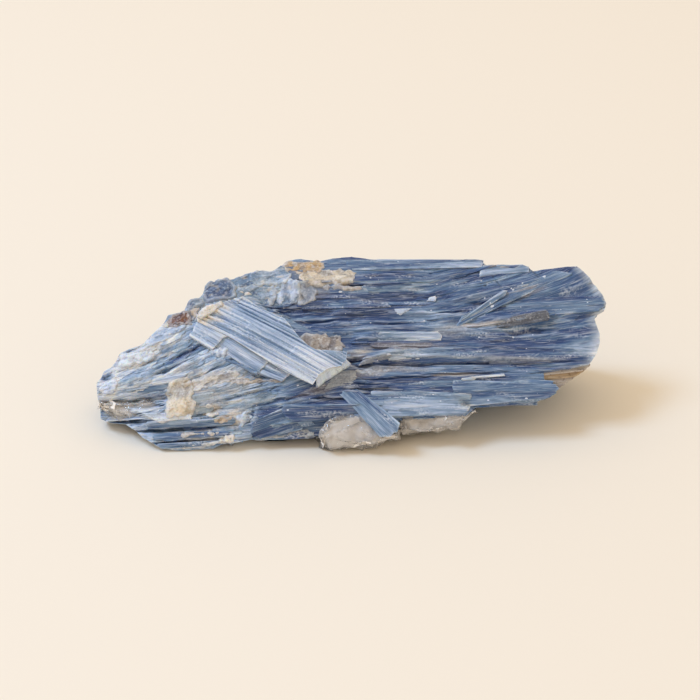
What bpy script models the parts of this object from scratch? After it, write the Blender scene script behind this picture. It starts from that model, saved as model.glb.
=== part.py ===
"""A hand-sized kyanite specimen: flat blue blades grown together, with a few quartz grains between them.

Metres, +Z up. It lies on a flat cleavage face at Z = 0, with its longest side along X and its broad
striated face turned to -Y and up. The kyanite blades grew into each other, so they are one solid. The
quartz and mica grains are another mineral, so each is a solid of its own, seated in a pocket.
"""

import math
import random

import bmesh
import bpy
from mathutils import Matrix, Vector

MM = 0.001

# Driving dimensions of the whole specimen.
FACE_RISE = 40 * MM  # the broad front face, measured up its slope
SLOPE_FOOT = math.radians(62)  # how steep the front face is at its foot
SLOPE_CREST = math.radians(28)  # and at its crest
LENGTH_RADIUS = 600 * MM  # the face bends back towards both ends, as on a barrel this big
LENGTH_MIDDLE = 8 * MM  # X where that bend is highest
BACK_SLOPE = math.radians(76)  # the back face, which falls steeply from the crest
STRIP_WIDTH = 2.1 * MM  # a blade parts into strips about this wide
STRIP_STEP = 0.35 * MM  # and a strip stands this much above or below its blade
STRIP_SHORTFALL = 1.2 * MM  # and ends up to this far short of it
STRIP_TILT = 4  # and leans up to this many degrees to one side
SEAT_GAP = 0.3 * MM  # clearance between a grain and its pocket
BLADE_EDGE = 0.3 * MM  # chamfer along a blade's upper edges
BLADE_THICKNESS = 4.5 * MM
END_LEAN = 0.25  # how far a broken end leans out of the upright
CORNER_TURN = math.radians(40)  # the second break that takes a corner off an end
CORNER_BACK = 0.15  # where that break starts, as a share of the blade's width
CORE_DEPTH = 2.5 * MM  # how far the solid middle stays under the faces
CORE_LENGTH = 0.86  # and how much of the specimen's length it takes
SEED = 11

# The outline of the front face: X, then how far up its slope the foot and the crest lie there.
OUTLINE = [
    (-50, 7, 14),
    (-45, 4, 19.5),
    (-38, 0, 25),
    (-30, -1, 31),
    (-20, -1, 36),
    (-9, -1, 39.5),
    (12, 1, 39.5),
    (26, 6.5, 39),
    (36, 9.5, 37.5),
    (45, 15, 36.5),
    (50, 23, 31),
]

# The back face: X, where its lower edge lies in Y, and how high above the floor that edge is.
BACK_LINE = [
    (-50, 17, 2),
    (-40, 23, 1),
    (-28, 29, 0),
    (-10, 34, 0),
    (15, 36, 0),
    (35, 34, 1),
    (45, 31, 5),
    (51, 28, 12),
]

# The blades that shape the front face, each from its left end to its right end, in millimetres:
# X and distance up the slope at the left, the same at the right, the width, how far the blade stands
# out of the face at its left and right, and how far its two ends are cut askew, in degrees.
RIGHT_BLADES = [
    (-3, 38.8, 26.2, 38.8, 3.2, 0.2, 0.4, 10, 4),
    (1, 36.8, 35.2, 37.1, 3.6, 0.5, 1.1, -12, -20),
    (14, 33.0, 46.2, 36.4, 4.6, 0.9, 1.7, 20, 36),
    (15, 28.6, 51.2, 31.6, 6.6, 0.7, 1.2, -25, 34),
    (20, 31.4, 47.2, 34.6, 2.6, 1.5, 2.1, 30, 32),
    (6, 34.2, 33, 35.4, 3.4, 0.8, 1.0, 30, 25),
    (-4, 34.6, 22, 35.4, 2.6, 1.3, 1.5, 20, -10),
    (-10, 32.6, 17, 32.4, 3.4, 0.2, 0.8, -15, 20),
    (26, 25.8, 39.8, 27.6, 2.0, 1.9, 2.7, 40, -8),
    (20, 24.2, 50.2, 24.6, 6.2, 0.6, 1.0, 30, 14),
    (28, 21.2, 48.2, 21.4, 4.6, 0.8, 0.7, -30, -34),
    (-4, 29.6, 27, 28.8, 3.4, 0.5, 1.1, 15, -30),
    (-5, 26.6, 24, 26.4, 3.0, 0.1, 0.6, -20, 30),
    (1, 23.6, 31, 23.2, 3.2, 0.8, 1.3, 20, -25),
    (8, 19.8, 45, 19.6, 3.0, 1.2, 1.8, -30, 24),
    (4, 16.3, 38.8, 16.6, 3.2, 0.2, 0.5, 25, 8),
    (3, 13.4, 41.2, 12.4, 4.8, 0.8, 1.3, -20, 12),
    (20, 10.6, 38, 10.4, 2.4, 0.1, 0.5, 15, -25),
    (2.5, 10.6, 24.4, 8.6, 4.8, 1.2, 1.7, 30, 6),
]
MIDDLE_BLADES = [
    (-12, 15.8, 3, 19.6, 2.6, 0.4, 0.3, 20, 30),
    (-9, 13.6, 7, 18.0, 2.6, 1.1, 0.7, -20, 25),
    (-10, 11.6, 5, 15.0, 2.6, 1.6, 1.1, 25, -20),
    (2.2, 17.9, 9.8, 20.2, 1.5, 1.6, 2.3, 40, 30),
    (-12.2, 8.6, 2.4, 10.2, 3.8, 2.2, 1.8, -28, 20),
    (-19.2, 5.2, -4, 8.6, 3.6, 1.8, 1.2, -20, 25),
    (-2.5, 12.6, 9.8, 4.4, 3.8, 1.9, 3.2, 20, 12),
    (-23.4, 3.0, -17.6, 6.2, 3.0, 1.6, 1.5, 8, 20),
    (-18, 2.8, -4, 3.2, 3.0, 0.6, 0.4, -15, 15),
    (-24, 9.4, -7, 13.2, 2.8, 2.0, 1.5, 25, -20),
    (-21, 12.4, -6, 15.6, 2.4, 1.5, 1.2, -25, 20),
    (-27, 6.4, -11, 10.0, 2.8, 1.9, 1.9, 15, 30),
]
LEFT_BLADES = [
    (-40.8, 22.2, -29, 27.6, 4.2, 0.2, 0.8, 12, -10),
    (-46.4, 18.0, -28, 24.8, 4.4, 0.8, 1.4, 14, 20),
    (-50.0, 14.6, -25, 22.8, 3.6, 0.6, 1.0, 20, -15),
    (-51.0, 12.2, -22, 19.6, 3.4, 1.6, 1.9, -6, 25),
    (-50.6, 10.6, -33, 14.6, 2.4, 1.2, 1.4, 10, -30),
    (-50.2, 6.4, -33, 9.6, 2.6, 1.6, 1.7, -12, 30),
    (-41.4, 6.8, -30.5, 8.6, 2.6, 2.4, 2.8, -35, 10),
    (-42.4, 4.2, -23, 6.4, 3.2, 1.8, 1.9, 25, 15),
    (-40.6, 1.6, -21, 3.2, 3.0, 2.2, 1.6, -20, -25),
    (-36.5, 12.4, -19, 16.0, 4.6, 1.9, 2.2, 15, 25),
    (-33.6, 9.4, -18, 12.8, 4.0, 2.6, 2.4, -22, 20),
]
CREST_BLADES = [
    (-37.2, 25.6, -30, 29.0, 3.6, 0.4, 0.8, 30, 10),
    (-32.6, 28.6, -24, 33.0, 4.2, 1.0, 1.0, 25, -20),
    (-28.6, 31.8, -15, 36.4, 4.6, 0.8, 0.7, 12, 20),
    (-21, 34.8, 3, 38.6, 4.6, 0.6, 0.3, 20, -15),
    (-25, 31.2, -7, 34.8, 5.0, 0.4, 0.6, -20, 25),
    (-13, 30.4, 3, 31.0, 4.2, 0.1, 0.2, 15, 15),
]
# The lighter bundle that lies across the others and points down to the right.
CROSSING_BLADES = [
    (-30.4, 28.2, -5.6, 14.6, 3.6, 2.7, 4.2, 10, -24),
    (-29.0, 30.8, -3.2, 16.6, 3.6, 2.6, 4.6, -25, -20),
    (-23.4, 30.8, -0.8, 18.3, 3.4, 2.4, 4.4, 20, -24),
    (-31.4, 25.4, -26.0, 22.0, 3.9, 3.4, 3.7, 4, -8),
    (-25.4, 19.8, -17.4, 16.2, 3.2, 3.2, 3.6, 10, -6),
]

# Plain blades, which fill in the front face, cover the back and stack up inside, drawn at random
# between these limits: length, width, and how far they stand out of the face.
FILL = ((15 * MM, 30 * MM), (1.8 * MM, 3.6 * MM), (-0.6 * MM, 0.6 * MM))
FILL_ROW_STEP = 2.8 * MM
BACK = ((16 * MM, 40 * MM), (2.4 * MM, 4.6 * MM), (-0.6 * MM, 1.6 * MM))
BACK_ROW_STEP = 2.9 * MM
INNER_WIDTH = 7.5 * MM
INNER_LAYER_STEP = 4.2 * MM
INNER_LAYERS = 5
INNER_SPREAD = 3.5 * MM  # how unevenly the inner blades end

# Broad blades along the underside, in millimetres: X of the left and right end, Y, width.
GROUND_BLADES = [
    (-36, 26, 6, 7.5),
    (-28, 30, 13, 8),
    (-20, 38, 20.5, 8),
    (-8, 34, 28, 7),
]

# Grains of quartz and mica: their middle (X, up the slope, out of the face), their length, height and
# depth in millimetres, how far they are turned in the face, and the seed of their broken facets.
GRAINS = {
    "quartz_lump": ((1.2, 3.9, -0.9), (15.6, 9.2, 9.0), 14, 3),
    "quartz_ledge": ((17.6, 6.0, -1.8), (14.6, 4.8, 7.0), 16, 5),
    "quartz_seam": ((-43.0, 8.0, -0.6), (15.5, 4.6, 6.5), 5, 8),
    "mica_patch": ((42.2, 17.0, -2.4), (9.4, 4.6, 7.0), 24, 21),
}
GRAIN_FACETS = 14


def between(table, x, column):
    """The value of a column of a table at X, read along straight lines between its rows."""
    x = x / MM
    if x <= table[0][0]:
        return table[0][column] * MM
    for low, high in zip(table, table[1:]):
        if x <= high[0]:
            share = (x - low[0]) / (high[0] - low[0])
            return (low[column] + share * (high[column] - low[column])) * MM
    return table[-1][column] * MM


def foot(x):
    return between(OUTLINE, x, 1)


def crest(x):
    return between(OUTLINE, x, 2)


def slope(rise):
    return SLOPE_FOOT + (SLOPE_CREST - SLOPE_FOOT) * rise / FACE_RISE


def front_point(x, rise, lift):
    """A point of the front face, which is an arc of one radius in the YZ plane, and its outward normal."""
    radius = FACE_RISE / (SLOPE_FOOT - SLOPE_CREST)
    angle = slope(rise)
    normal = Vector((0, -math.sin(angle), math.cos(angle)))
    on_arc = Vector((x, math.sin(SLOPE_FOOT) - math.sin(angle), math.cos(angle) - math.cos(SLOPE_FOOT)))
    on_arc.yz *= radius
    bend = (x - LENGTH_MIDDLE) ** 2 / (2 * LENGTH_RADIUS)
    return on_arc + normal * (lift - bend), normal


def back_point(x, height, lift):
    """A point of the back face at a height above the floor, and its outward normal."""

    def on_face(at, up):
        return Vector((at, between(BACK_LINE, at, 1) - up / math.tan(BACK_SLOPE), up))

    along = on_face(x + 2 * MM, height) - on_face(x - 2 * MM, height)
    upward = on_face(x, height + MM) - on_face(x, height)
    normal = upward.cross(along).normalized()
    return on_face(x, height) + normal * lift, normal


def crest_height(x):
    return front_point(x, crest(x), 0)[0].z


def run_where(test):
    """The first and the last X, to a millimetre, where a test of X holds."""
    inside = [x * MM for x in range(-51, 52) if test(x * MM)]
    return inside[0], inside[-1]


def grain_angle(x, rise):
    """Which way the blades of the front face run at a place, as the rise over the run."""
    left = min(1, max(0, (-8 * MM - x) / (22 * MM)))
    fan = 0.1 * (rise / FACE_RISE) * max(0, x) / (40 * MM)
    return fan + left * (0.12 + 0.26 * rise / FACE_RISE)


def cut_end(bm, place, normal):
    """Breaks a blade off along a plane, and closes the break."""
    everything = bm.verts[:] + bm.edges[:] + bm.faces[:]
    cut = bmesh.ops.bisect_plane(
        bm, geom=everything, plane_co=place, plane_no=normal, clear_outer=True, dist=1e-7
    )
    rim = [item for item in cut["geom_cut"] if isinstance(item, bmesh.types.BMEdge)]
    bmesh.ops.contextual_create(bm, geom=rim)


def blade_mesh(start, end, normal, width, thickness, skews, tilt):
    """One crystal blade: a flat bar from start to end, chamfered above, with both ends broken askew."""
    along = (end - start).normalized()
    across = normal.cross(along).normalized()
    out = along.cross(across)
    length = (end - start).length
    spare = 1 + 2 * width / length
    turn = Matrix((along, across, out)).transposed().to_4x4()
    roll = Matrix.Rotation(tilt, 4, "X")
    bm = bmesh.new()
    bmesh.ops.create_cube(bm, size=1)
    bmesh.ops.scale(bm, vec=(length * spare, width, thickness), verts=bm.verts)
    bmesh.ops.translate(bm, vec=(0, 0, -thickness / 2), verts=bm.verts)
    upper = [
        e
        for e in bm.edges
        if all(v.co.z > -thickness / 4 for v in e.verts)
        and abs(e.verts[0].co.x - e.verts[1].co.x) > length / 2
    ]
    bmesh.ops.bevel(
        bm,
        geom=upper,
        offset=min(BLADE_EDGE, width / 5),
        segments=1,
        profile=0.5,
        affect="EDGES",
        material=-1,
    )
    for side, skew in zip((-1, 1), skews):
        angle = math.radians(skew)
        lean = END_LEAN * side * math.sin(3 * angle)
        outward = Vector((side * math.cos(angle), math.sin(angle), lean)).normalized()
        cut_end(bm, Vector((side * length / 2, 0, 0)), outward)
        corner = angle + math.copysign(CORNER_TURN, -skew)
        outward = Vector((side * math.cos(corner), math.sin(corner), -lean)).normalized()
        cut_end(bm, Vector((side * (length / 2 - CORNER_BACK * width), 0.1 * width, 0)), outward)
    bm.transform(Matrix.Translation((start + end) / 2) @ turn @ roll)
    return bm


def add_helper(name, bm, group):
    """Puts a mesh in the scene as a helper, which shapes a node and isn't one itself."""
    bmesh.ops.recalc_face_normals(bm, faces=bm.faces)
    mesh = bpy.data.meshes.new(name)
    bm.to_mesh(mesh)
    bm.free()
    helper = bpy.data.objects.new(name, mesh)
    helper.hide_render = True
    helper.display_type = "WIRE"
    group.objects.link(helper)
    return helper


def add_front_blade(name, row, group, dice):
    """A blade of the front face, parted lengthwise into strips that end and stand a little unevenly."""
    x0, rise0, x1, rise1, width, lift0, lift1, skew0, skew1 = row
    start, normal0 = front_point(x0 * MM, rise0 * MM, lift0 * MM)
    end, normal1 = front_point(x1 * MM, rise1 * MM, lift1 * MM)
    normal = (normal0 + normal1).normalized()
    across = normal.cross(end - start).normalized()
    count = max(1, round(width * MM / STRIP_WIDTH))
    cuts = sorted(dice.uniform(-0.12, 0.12) + (n + 1) / count for n in range(count - 1))
    sides = [0, *cuts, 1]
    for number, (low, high) in enumerate(zip(sides, sides[1:])):
        middle = ((low + high) / 2 - 0.5) * width * MM
        step = dice.uniform(-STRIP_STEP, STRIP_STEP) if count > 1 else 0
        skewed = [math.tan(math.radians(skew)) * middle for skew in (skew0, skew1)]
        short = [dice.uniform(0, STRIP_SHORTFALL) * min(1, count - 1) for _ in (0, 1)]
        shift = across * middle + normal * step
        along = (end - start).normalized()
        strip_start = start + shift + along * (skewed[0] + short[0])
        strip_end = end + shift - along * (skewed[1] + short[1])
        strip_width = (high - low) * width * MM * 1.1
        tilt = math.radians(dice.uniform(-STRIP_TILT, STRIP_TILT))
        bm = blade_mesh(
            strip_start, strip_end, normal, strip_width, BLADE_THICKNESS, (skew0, skew1), tilt
        )
        add_helper(f"{name}_{number}", bm, group)


def add_core(group):
    """The grown-together middle of the specimen, well under its blades: the hull of rings of points."""
    bm = bmesh.new()
    for x, low, high in OUTLINE:
        x *= MM * CORE_LENGTH
        for rise in (low * MM + CORE_DEPTH, 0.5 * (low + high) * MM, high * MM - CORE_DEPTH):
            bm.verts.new(front_point(x, rise, -CORE_DEPTH)[0])
        lowest = between(BACK_LINE, x, 2)
        for share in (0.15, 0.5, 0.85):
            height = lowest + share * (crest_height(x) - lowest)
            bm.verts.new(back_point(x, height, -CORE_DEPTH)[0])
    hull = bmesh.ops.convex_hull(bm, input=bm.verts)
    inside = [v for v in hull["geom_interior"] if isinstance(v, bmesh.types.BMVert)]
    bmesh.ops.delete(bm, geom=inside, context="VERTS")
    return add_helper("core", bm, group)


def add_inner(group, dice):
    """Broad blades in layers behind the front face, whose ends make the two broken ends."""
    count = 0
    for layer in range(1, INNER_LAYERS + 1):
        lift = -layer * INNER_LAYER_STEP
        rise = 4 * MM + dice.uniform(0, 3) * MM
        while rise < FACE_RISE - 2 * MM:
            left, right = run_where(lambda x: foot(x) < rise - 3 * MM and rise < crest(x))
            left += dice.uniform(-0.3, 1) * INNER_SPREAD
            right -= dice.uniform(0.1, 1) * INNER_SPREAD
            start, normal = front_point(left, rise, lift)
            end, _ = front_point(right, rise, lift)
            for point, x in ((start, left), (end, right)):
                point.y = min(point.y, back_point(x, max(point.z, 0), -3 * MM)[0].y)
                point.z = max(point.z, between(BACK_LINE, x, 2) + 3 * MM)
            skews = (dice.uniform(-30, 30), dice.uniform(-30, 30))
            tilt = math.radians(dice.uniform(-6, 6))
            bm = blade_mesh(start, end, normal, INNER_WIDTH, INNER_LAYER_STEP * 1.2, skews, tilt)
            add_helper(f"inner_{count}", bm, group)
            count += 1
            rise += INNER_WIDTH * dice.uniform(0.7, 0.95)


def add_fill(group, dice):
    """Plain blades under and between the shaped ones, in rows up the front face."""
    lengths, widths, lifts = FILL
    rise = 2 * MM
    count = 0
    while rise < FACE_RISE - 2 * MM:
        x, right = run_where(lambda x: foot(x) + MM < rise < crest(x))
        x += dice.uniform(1, 4) * MM
        right -= dice.uniform(2, 5) * MM
        while x < right - 8 * MM:
            far = min(x + dice.uniform(*lengths), right + dice.uniform(-2, 0) * MM)
            climb = grain_angle((x + far) / 2, rise) * (far - x)
            if rise + climb < crest(far):
                row = (x, rise, far, rise + climb, dice.uniform(*widths))
                row += (dice.uniform(*lifts), dice.uniform(*lifts))
                row = [value / MM for value in row]
                row += [dice.uniform(-35, 35), dice.uniform(-35, 35)]
                add_front_blade(f"fill_{count}", row, group, dice)
                count += 1
            x = far - dice.uniform(0, 4) * MM
        rise += FILL_ROW_STEP


def add_back(group, dice):
    """Blades over the back face, in level rows that step in and out, up to the crest."""
    lengths, widths, lifts = BACK
    height = 1.6 * MM
    count = 0
    while height < crest_height(10 * MM) - 1.5 * MM:
        x, right = run_where(
            lambda x: between(BACK_LINE, x, 2) < height < crest_height(x) - 1.5 * MM
        )
        x += dice.uniform(0, 2) * MM
        while x < right - 6 * MM:
            far = min(x + dice.uniform(*lengths), right)
            start, normal0 = back_point(x, height, dice.uniform(*lifts))
            end, normal1 = back_point(far, height + dice.uniform(-1, 1) * MM, dice.uniform(*lifts))
            skews = (dice.uniform(-35, 35), dice.uniform(-35, 35))
            tilt = math.radians(dice.uniform(-8, 8))
            width = dice.uniform(*widths)
            bm = blade_mesh(start, end, normal0 + normal1, width, BLADE_THICKNESS, skews, tilt)
            add_helper(f"back_{count}", bm, group)
            count += 1
            x = far - dice.uniform(1, 6) * MM
        height += BACK_ROW_STEP


def add_ground_blades(group, dice):
    """Broad blades along the underside, which the floor cuts flat and which the specimen rests on."""
    for number, (left, right, y, width) in enumerate(GROUND_BLADES):
        start = Vector((left, y, -0.4 - 0.3 * (number % 2))) * MM
        end = Vector((right, y + 2, -0.4 - 0.3 * (number % 2))) * MM
        skews = (dice.uniform(-30, 30), dice.uniform(-30, 30))
        bm = blade_mesh(start, end, Vector((0, 0, -1)), width * MM, BLADE_THICKNESS, skews, 0)
        add_helper(f"ground_{number}", bm, group)


def grain_mesh(middle, size, turn_deg, seed, grow):
    """A broken grain: a block trimmed by flat planes, stretched to its size. Growing it makes its pocket."""
    dice = random.Random(seed)
    place, normal = front_point(middle[0] * MM, middle[1] * MM, middle[2] * MM)
    upward = normal.cross(Vector((1, 0, 0)))
    axes = Matrix((Vector((1, 0, 0)), upward, normal)).transposed().to_4x4()
    half = Vector(size) * MM / 2
    bm = bmesh.new()
    bmesh.ops.create_cube(bm, size=2)
    for _ in range(GRAIN_FACETS):
        outward = Vector((dice.gauss(0, 1), dice.gauss(0, 1), dice.gauss(0, 1))).normalized()
        reach = dice.uniform(0.82, 1.12)
        cut_end(bm, outward * reach, outward)
    bm.transform(Matrix.Diagonal((*[side + grow for side in half], 1)))
    turn = Matrix.Rotation(math.radians(turn_deg), 4, "Z")
    bm.transform(Matrix.Translation(place) @ axes @ turn)
    bmesh.ops.triangulate(bm, faces=bm.faces)
    return bm


def floor_cutter(group):
    """A block under Z = 0, which takes off what would reach below the face that the specimen rests on."""
    bm = bmesh.new()
    bmesh.ops.create_cube(bm, size=1)
    bmesh.ops.scale(bm, vec=(0.2, 0.2, 0.02), verts=bm.verts)
    bmesh.ops.translate(bm, vec=(0, 0.02, -0.01), verts=bm.verts)
    return add_helper("floor_cutter", bm, group)


def material(name, colour, roughness):
    made = bpy.data.materials.new(name)
    made.use_nodes = True
    shader = made.node_tree.nodes["Principled BSDF"]
    shader.inputs["Base Color"].default_value = (*colour, 1)
    shader.inputs["Roughness"].default_value = roughness
    shader.inputs["Metallic"].default_value = 0
    return made


def group_named(name):
    group = bpy.data.collections.new(name)
    bpy.context.scene.collection.children.link(group)
    return group


def boolean(obj, operation, other):
    """One exact Boolean of an object with another object, or with all that a collection holds."""
    modifier = obj.modifiers.new(operation.lower(), "BOOLEAN")
    modifier.operation = operation
    modifier.solver = "EXACT"
    if isinstance(other, bpy.types.Collection):
        modifier.operand_type = "COLLECTION"
        modifier.collection = other
    else:
        modifier.object = other


def apply_booleans(obj):
    """Replaces an object's mesh with the result of its Booleans."""
    graph = bpy.context.evaluated_depsgraph_get()
    mesh = bpy.data.meshes.new_from_object(obj.evaluated_get(graph))
    obj.modifiers.clear()
    obj.data = mesh


def keep_largest_shell(mesh):
    """Drops the voids sealed between blades, and any chip that a cut has set loose."""
    bm = bmesh.new()
    bm.from_mesh(mesh)
    unseen = set(bm.verts)
    shells = []
    while unseen:
        shell = {unseen.pop()}
        edge_of_shell = list(shell)
        while edge_of_shell:
            vert = edge_of_shell.pop()
            near = {e.other_vert(vert) for e in vert.link_edges} - shell
            shell |= near
            edge_of_shell.extend(near)
        unseen -= shell
        shells.append(shell)
    largest = max(shells, key=len)
    bmesh.ops.delete(bm, geom=[v for v in bm.verts if v not in largest], context="VERTS")
    bm.to_mesh(mesh)
    bm.free()


def make_kyanite(floor):
    dice = random.Random(SEED)
    blades = group_named("blades")
    pockets = group_named("pockets")
    core = add_core(blades)
    shaped = RIGHT_BLADES + MIDDLE_BLADES + LEFT_BLADES + CREST_BLADES + CROSSING_BLADES
    for number, row in enumerate(shaped):
        add_front_blade(f"blade_{number}", row, blades, dice)
    add_inner(blades, dice)
    add_fill(blades, dice)
    add_back(blades, dice)
    add_ground_blades(blades, dice)
    for name, (middle, size, turn, seed) in GRAINS.items():
        add_helper(f"{name}_pocket", grain_mesh(middle, size, turn, seed, SEAT_GAP), pockets)
    kyanite = bpy.data.objects.new("kyanite_blades", core.data)
    bpy.context.scene.collection.objects.link(kyanite)
    blades.objects.unlink(core)
    bpy.data.objects.remove(core)
    kyanite.data.materials.append(material("kyanite", (0.13, 0.21, 0.42), 0.35))
    boolean(kyanite, "UNION", blades)
    boolean(kyanite, "DIFFERENCE", pockets)
    boolean(kyanite, "DIFFERENCE", floor)
    apply_booleans(kyanite)
    keep_largest_shell(kyanite.data)
    return kyanite


def make_grains(floor):
    quartz = material("quartz", (0.62, 0.58, 0.52), 0.2)
    mica = material("mica", (0.36, 0.28, 0.19), 0.55)
    grains = []
    for name, (middle, size, turn, seed) in GRAINS.items():
        mesh = bpy.data.meshes.new(name)
        bm = grain_mesh(middle, size, turn, seed, 0)
        bmesh.ops.recalc_face_normals(bm, faces=bm.faces)
        bm.to_mesh(mesh)
        bm.free()
        grain = bpy.data.objects.new(name, mesh)
        bpy.context.scene.collection.objects.link(grain)
        mesh.materials.append(mica if name.startswith("mica") else quartz)
        boolean(grain, "DIFFERENCE", floor)
        apply_booleans(grain)
        grains.append(grain)
    return grains


def centre_on_origin(nodes):
    """Moves the specimen so that the middle of its extents in X and Y is at the origin."""
    points = [v.co for node in nodes for v in node.data.vertices]
    low, high = (Vector([pick(p[i] for p in points) for i in range(3)]) for pick in (min, max))
    middle = (low + high) / 2
    for node in nodes:
        node.data.transform(Matrix.Translation((-middle.x, -middle.y, 0)))


def main():
    for obj in list(bpy.data.objects):
        bpy.data.objects.remove(obj)
    floor = floor_cutter(group_named("cutters"))
    kyanite = make_kyanite(floor)
    centre_on_origin([kyanite] + make_grains(floor))


main()
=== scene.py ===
"""Looks of a hand-sized kyanite specimen: striated blue blades, broken quartz and brown mica.

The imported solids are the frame. Sheets of fine relief lie over the front and the back of the grown
blades and follow their steps, hero blades stand out of them, and small splinters break up every edge.
"""

import math
import random

import bmesh
import bpy
import numpy as np
from mathutils import Matrix, Vector, noise
from mathutils.bvhtree import BVHTree


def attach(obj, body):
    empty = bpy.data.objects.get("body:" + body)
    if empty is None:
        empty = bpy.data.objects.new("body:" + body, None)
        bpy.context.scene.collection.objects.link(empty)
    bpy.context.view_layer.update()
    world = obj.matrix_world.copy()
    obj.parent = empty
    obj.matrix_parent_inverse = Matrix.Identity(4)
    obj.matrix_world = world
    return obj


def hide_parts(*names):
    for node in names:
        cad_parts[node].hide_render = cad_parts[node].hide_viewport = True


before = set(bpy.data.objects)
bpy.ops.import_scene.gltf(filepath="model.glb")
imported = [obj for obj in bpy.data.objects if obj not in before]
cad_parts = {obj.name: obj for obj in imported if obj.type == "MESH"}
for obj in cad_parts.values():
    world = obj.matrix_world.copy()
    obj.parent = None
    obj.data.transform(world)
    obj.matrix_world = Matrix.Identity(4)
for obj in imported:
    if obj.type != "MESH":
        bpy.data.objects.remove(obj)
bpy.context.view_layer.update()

MM = 0.001

# The front face, as in the solids: an arc up the slope, bent back a little towards both ends.
FACE_RISE = 40.0
SLOPE_FOOT = math.radians(62)
SLOPE_CREST = math.radians(28)
FACE_RADIUS = FACE_RISE / (SLOPE_FOOT - SLOPE_CREST)
LENGTH_RADIUS = 600.0
LENGTH_MIDDLE = 8.0
FACE_SHIFT = np.array([-0.26, -16.61, 0.0])  # from the foot of the arc to the frame, in millimetres
BACK_SLOPE = math.radians(76)
BACK_LINE = [(-50, 17), (-40, 23), (-28, 29), (-10, 34), (15, 36), (35, 34), (45, 31), (51, 28)]

# The crossing bundle's middle, along and up the front face, its turn in degrees and its reach.
BUNDLE_MIDDLE = (-18.5, 21.5)
BUNDLE_TURN = -29
BUNDLE_HALF_LENGTH, BUNDLE_HALF_WIDTH = 13.5, 5.5

SEAM_END = -34  # X where the quartz seam's pocket ends
RIGHT_END = 36  # X where the right end starts, over the mica

# The front face's outline, in millimetres along X and up the slope, from corner to corner.
FRONT_LEFT = [(-49.7, 6.6), (-49.9, 10.5), (-50.2, 13.8)]
FRONT_BOTTOM = [
    (-49.7, 6.6), (-47.7, 5.7), (-44.4, 5.4), (-42.4, 4.2), (-41.0, 2.8), (-39.8, 2.2), (-37.4, 0.8),
    (-33.5, 0.2), (-27.0, 0.6), (-24.6, 1.9), (-22.7, 1.8), (-19.7, 2.4), (-13.8, 2.4), (-9.9, 2.6),
    (-6.4, 3.2), (-5.6, 4.5), (-3.0, 5.0), (2.2, 5.8), (9.5, 6.1), (22.5, 7.0), (24.5, 8.7), (30.2, 9.1),
    (35.1, 9.6), (38.6, 10.5),
]
FRONT_RIGHT = [
    (38.6, 10.5), (40.4, 12.1), (39.8, 13.4), (38.0, 14.2), (38.0, 16.0), (40.5, 16.2), (43.1, 16.4),
    (45.1, 16.9), (46.9, 17.2), (47.6, 18.1), (48.6, 19.7), (49.3, 21.9), (49.3, 23.9), (48.7, 26.0),
    (48.4, 27.2), (48.8, 28.0), (50.5, 28.8), (50.9, 30.3), (50.1, 32.3), (47.8, 35.6), (45.4, 38.6),
]
FRONT_TOP = [
    (-50.2, 13.8), (-48.8, 16.3), (-47.2, 17.3), (-45.7, 19.9), (-44.1, 20.7), (-40.9, 21.8), (-39.4, 24.1),
    (-37.8, 25.7), (-36.3, 27.9), (-33.2, 28.5), (-31.9, 30.4), (-30.0, 31.6), (-28.7, 34.1), (-26.9, 35.1),
    (-22.1, 35.7), (-19.0, 36.2), (-15.8, 37.4), (-14.2, 38.8), (-12.6, 40.3), (-10.0, 40.5), (-6.2, 39.8),
    (-3.6, 40.6), (0.2, 41.0), (3.9, 40.3), (10.0, 39.8), (26.1, 40.3), (26.6, 38.1), (35.7, 38.6),
    (36.2, 37.3), (40.0, 38.0), (45.4, 38.6),
]


def colour(text):
    """A linear colour from its usual hex form."""
    parts = [int(text[i : i + 2], 16) / 255 for i in (0, 2, 4)]
    return np.array([p / 12.92 if p <= 0.04045 else ((p + 0.055) / 1.055) ** 2.4 for p in parts])


NAVY = colour("26447a")
DEEP = colour("486993")
MID = colour("7794b2")
LIGHT = colour("adc2df")
PALE = colour("e4edf8")
BLUES = np.array([NAVY * 0.45, NAVY, DEEP, MID, LIGHT, PALE])
STAINS = {
    "cream": colour("e6dac2"),
    "tan": colour("c0a478"),
    "brown": colour("85593c"),
    "moss": colour("9caab3"),
    "grey": colour("a6adb8"),
    "warm": colour("bdb2a5"),
    "pale": colour("e8e6e0"),
    "frost": colour("cddaf0"),
    "white": colour("f0f4fa"),
}


# --- the two faces


def front_normal(angle):
    """The front's outward direction where it slopes at an angle."""
    return np.stack([angle * 0, -np.sin(angle), np.cos(angle)], -1)


def length_bend(x):
    """How far the front bends back at a place along its length."""
    return (x - LENGTH_MIDDLE) ** 2 / (2 * LENGTH_RADIUS)


def front_point(x, rise, lift):
    """Points of the front face in metres, and their outward normals."""
    x, rise, lift = np.broadcast_arrays(x, rise, lift)
    angle = SLOPE_FOOT - rise / FACE_RADIUS
    normal = front_normal(angle)
    back = (math.sin(SLOPE_FOOT) - np.sin(angle)) * FACE_RADIUS
    up = (np.cos(angle) - math.cos(SLOPE_FOOT)) * FACE_RADIUS
    on_arc = np.stack([x, back, up], -1)
    return (on_arc + normal * (lift - length_bend(x))[..., None] + FACE_SHIFT) * MM, normal


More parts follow.
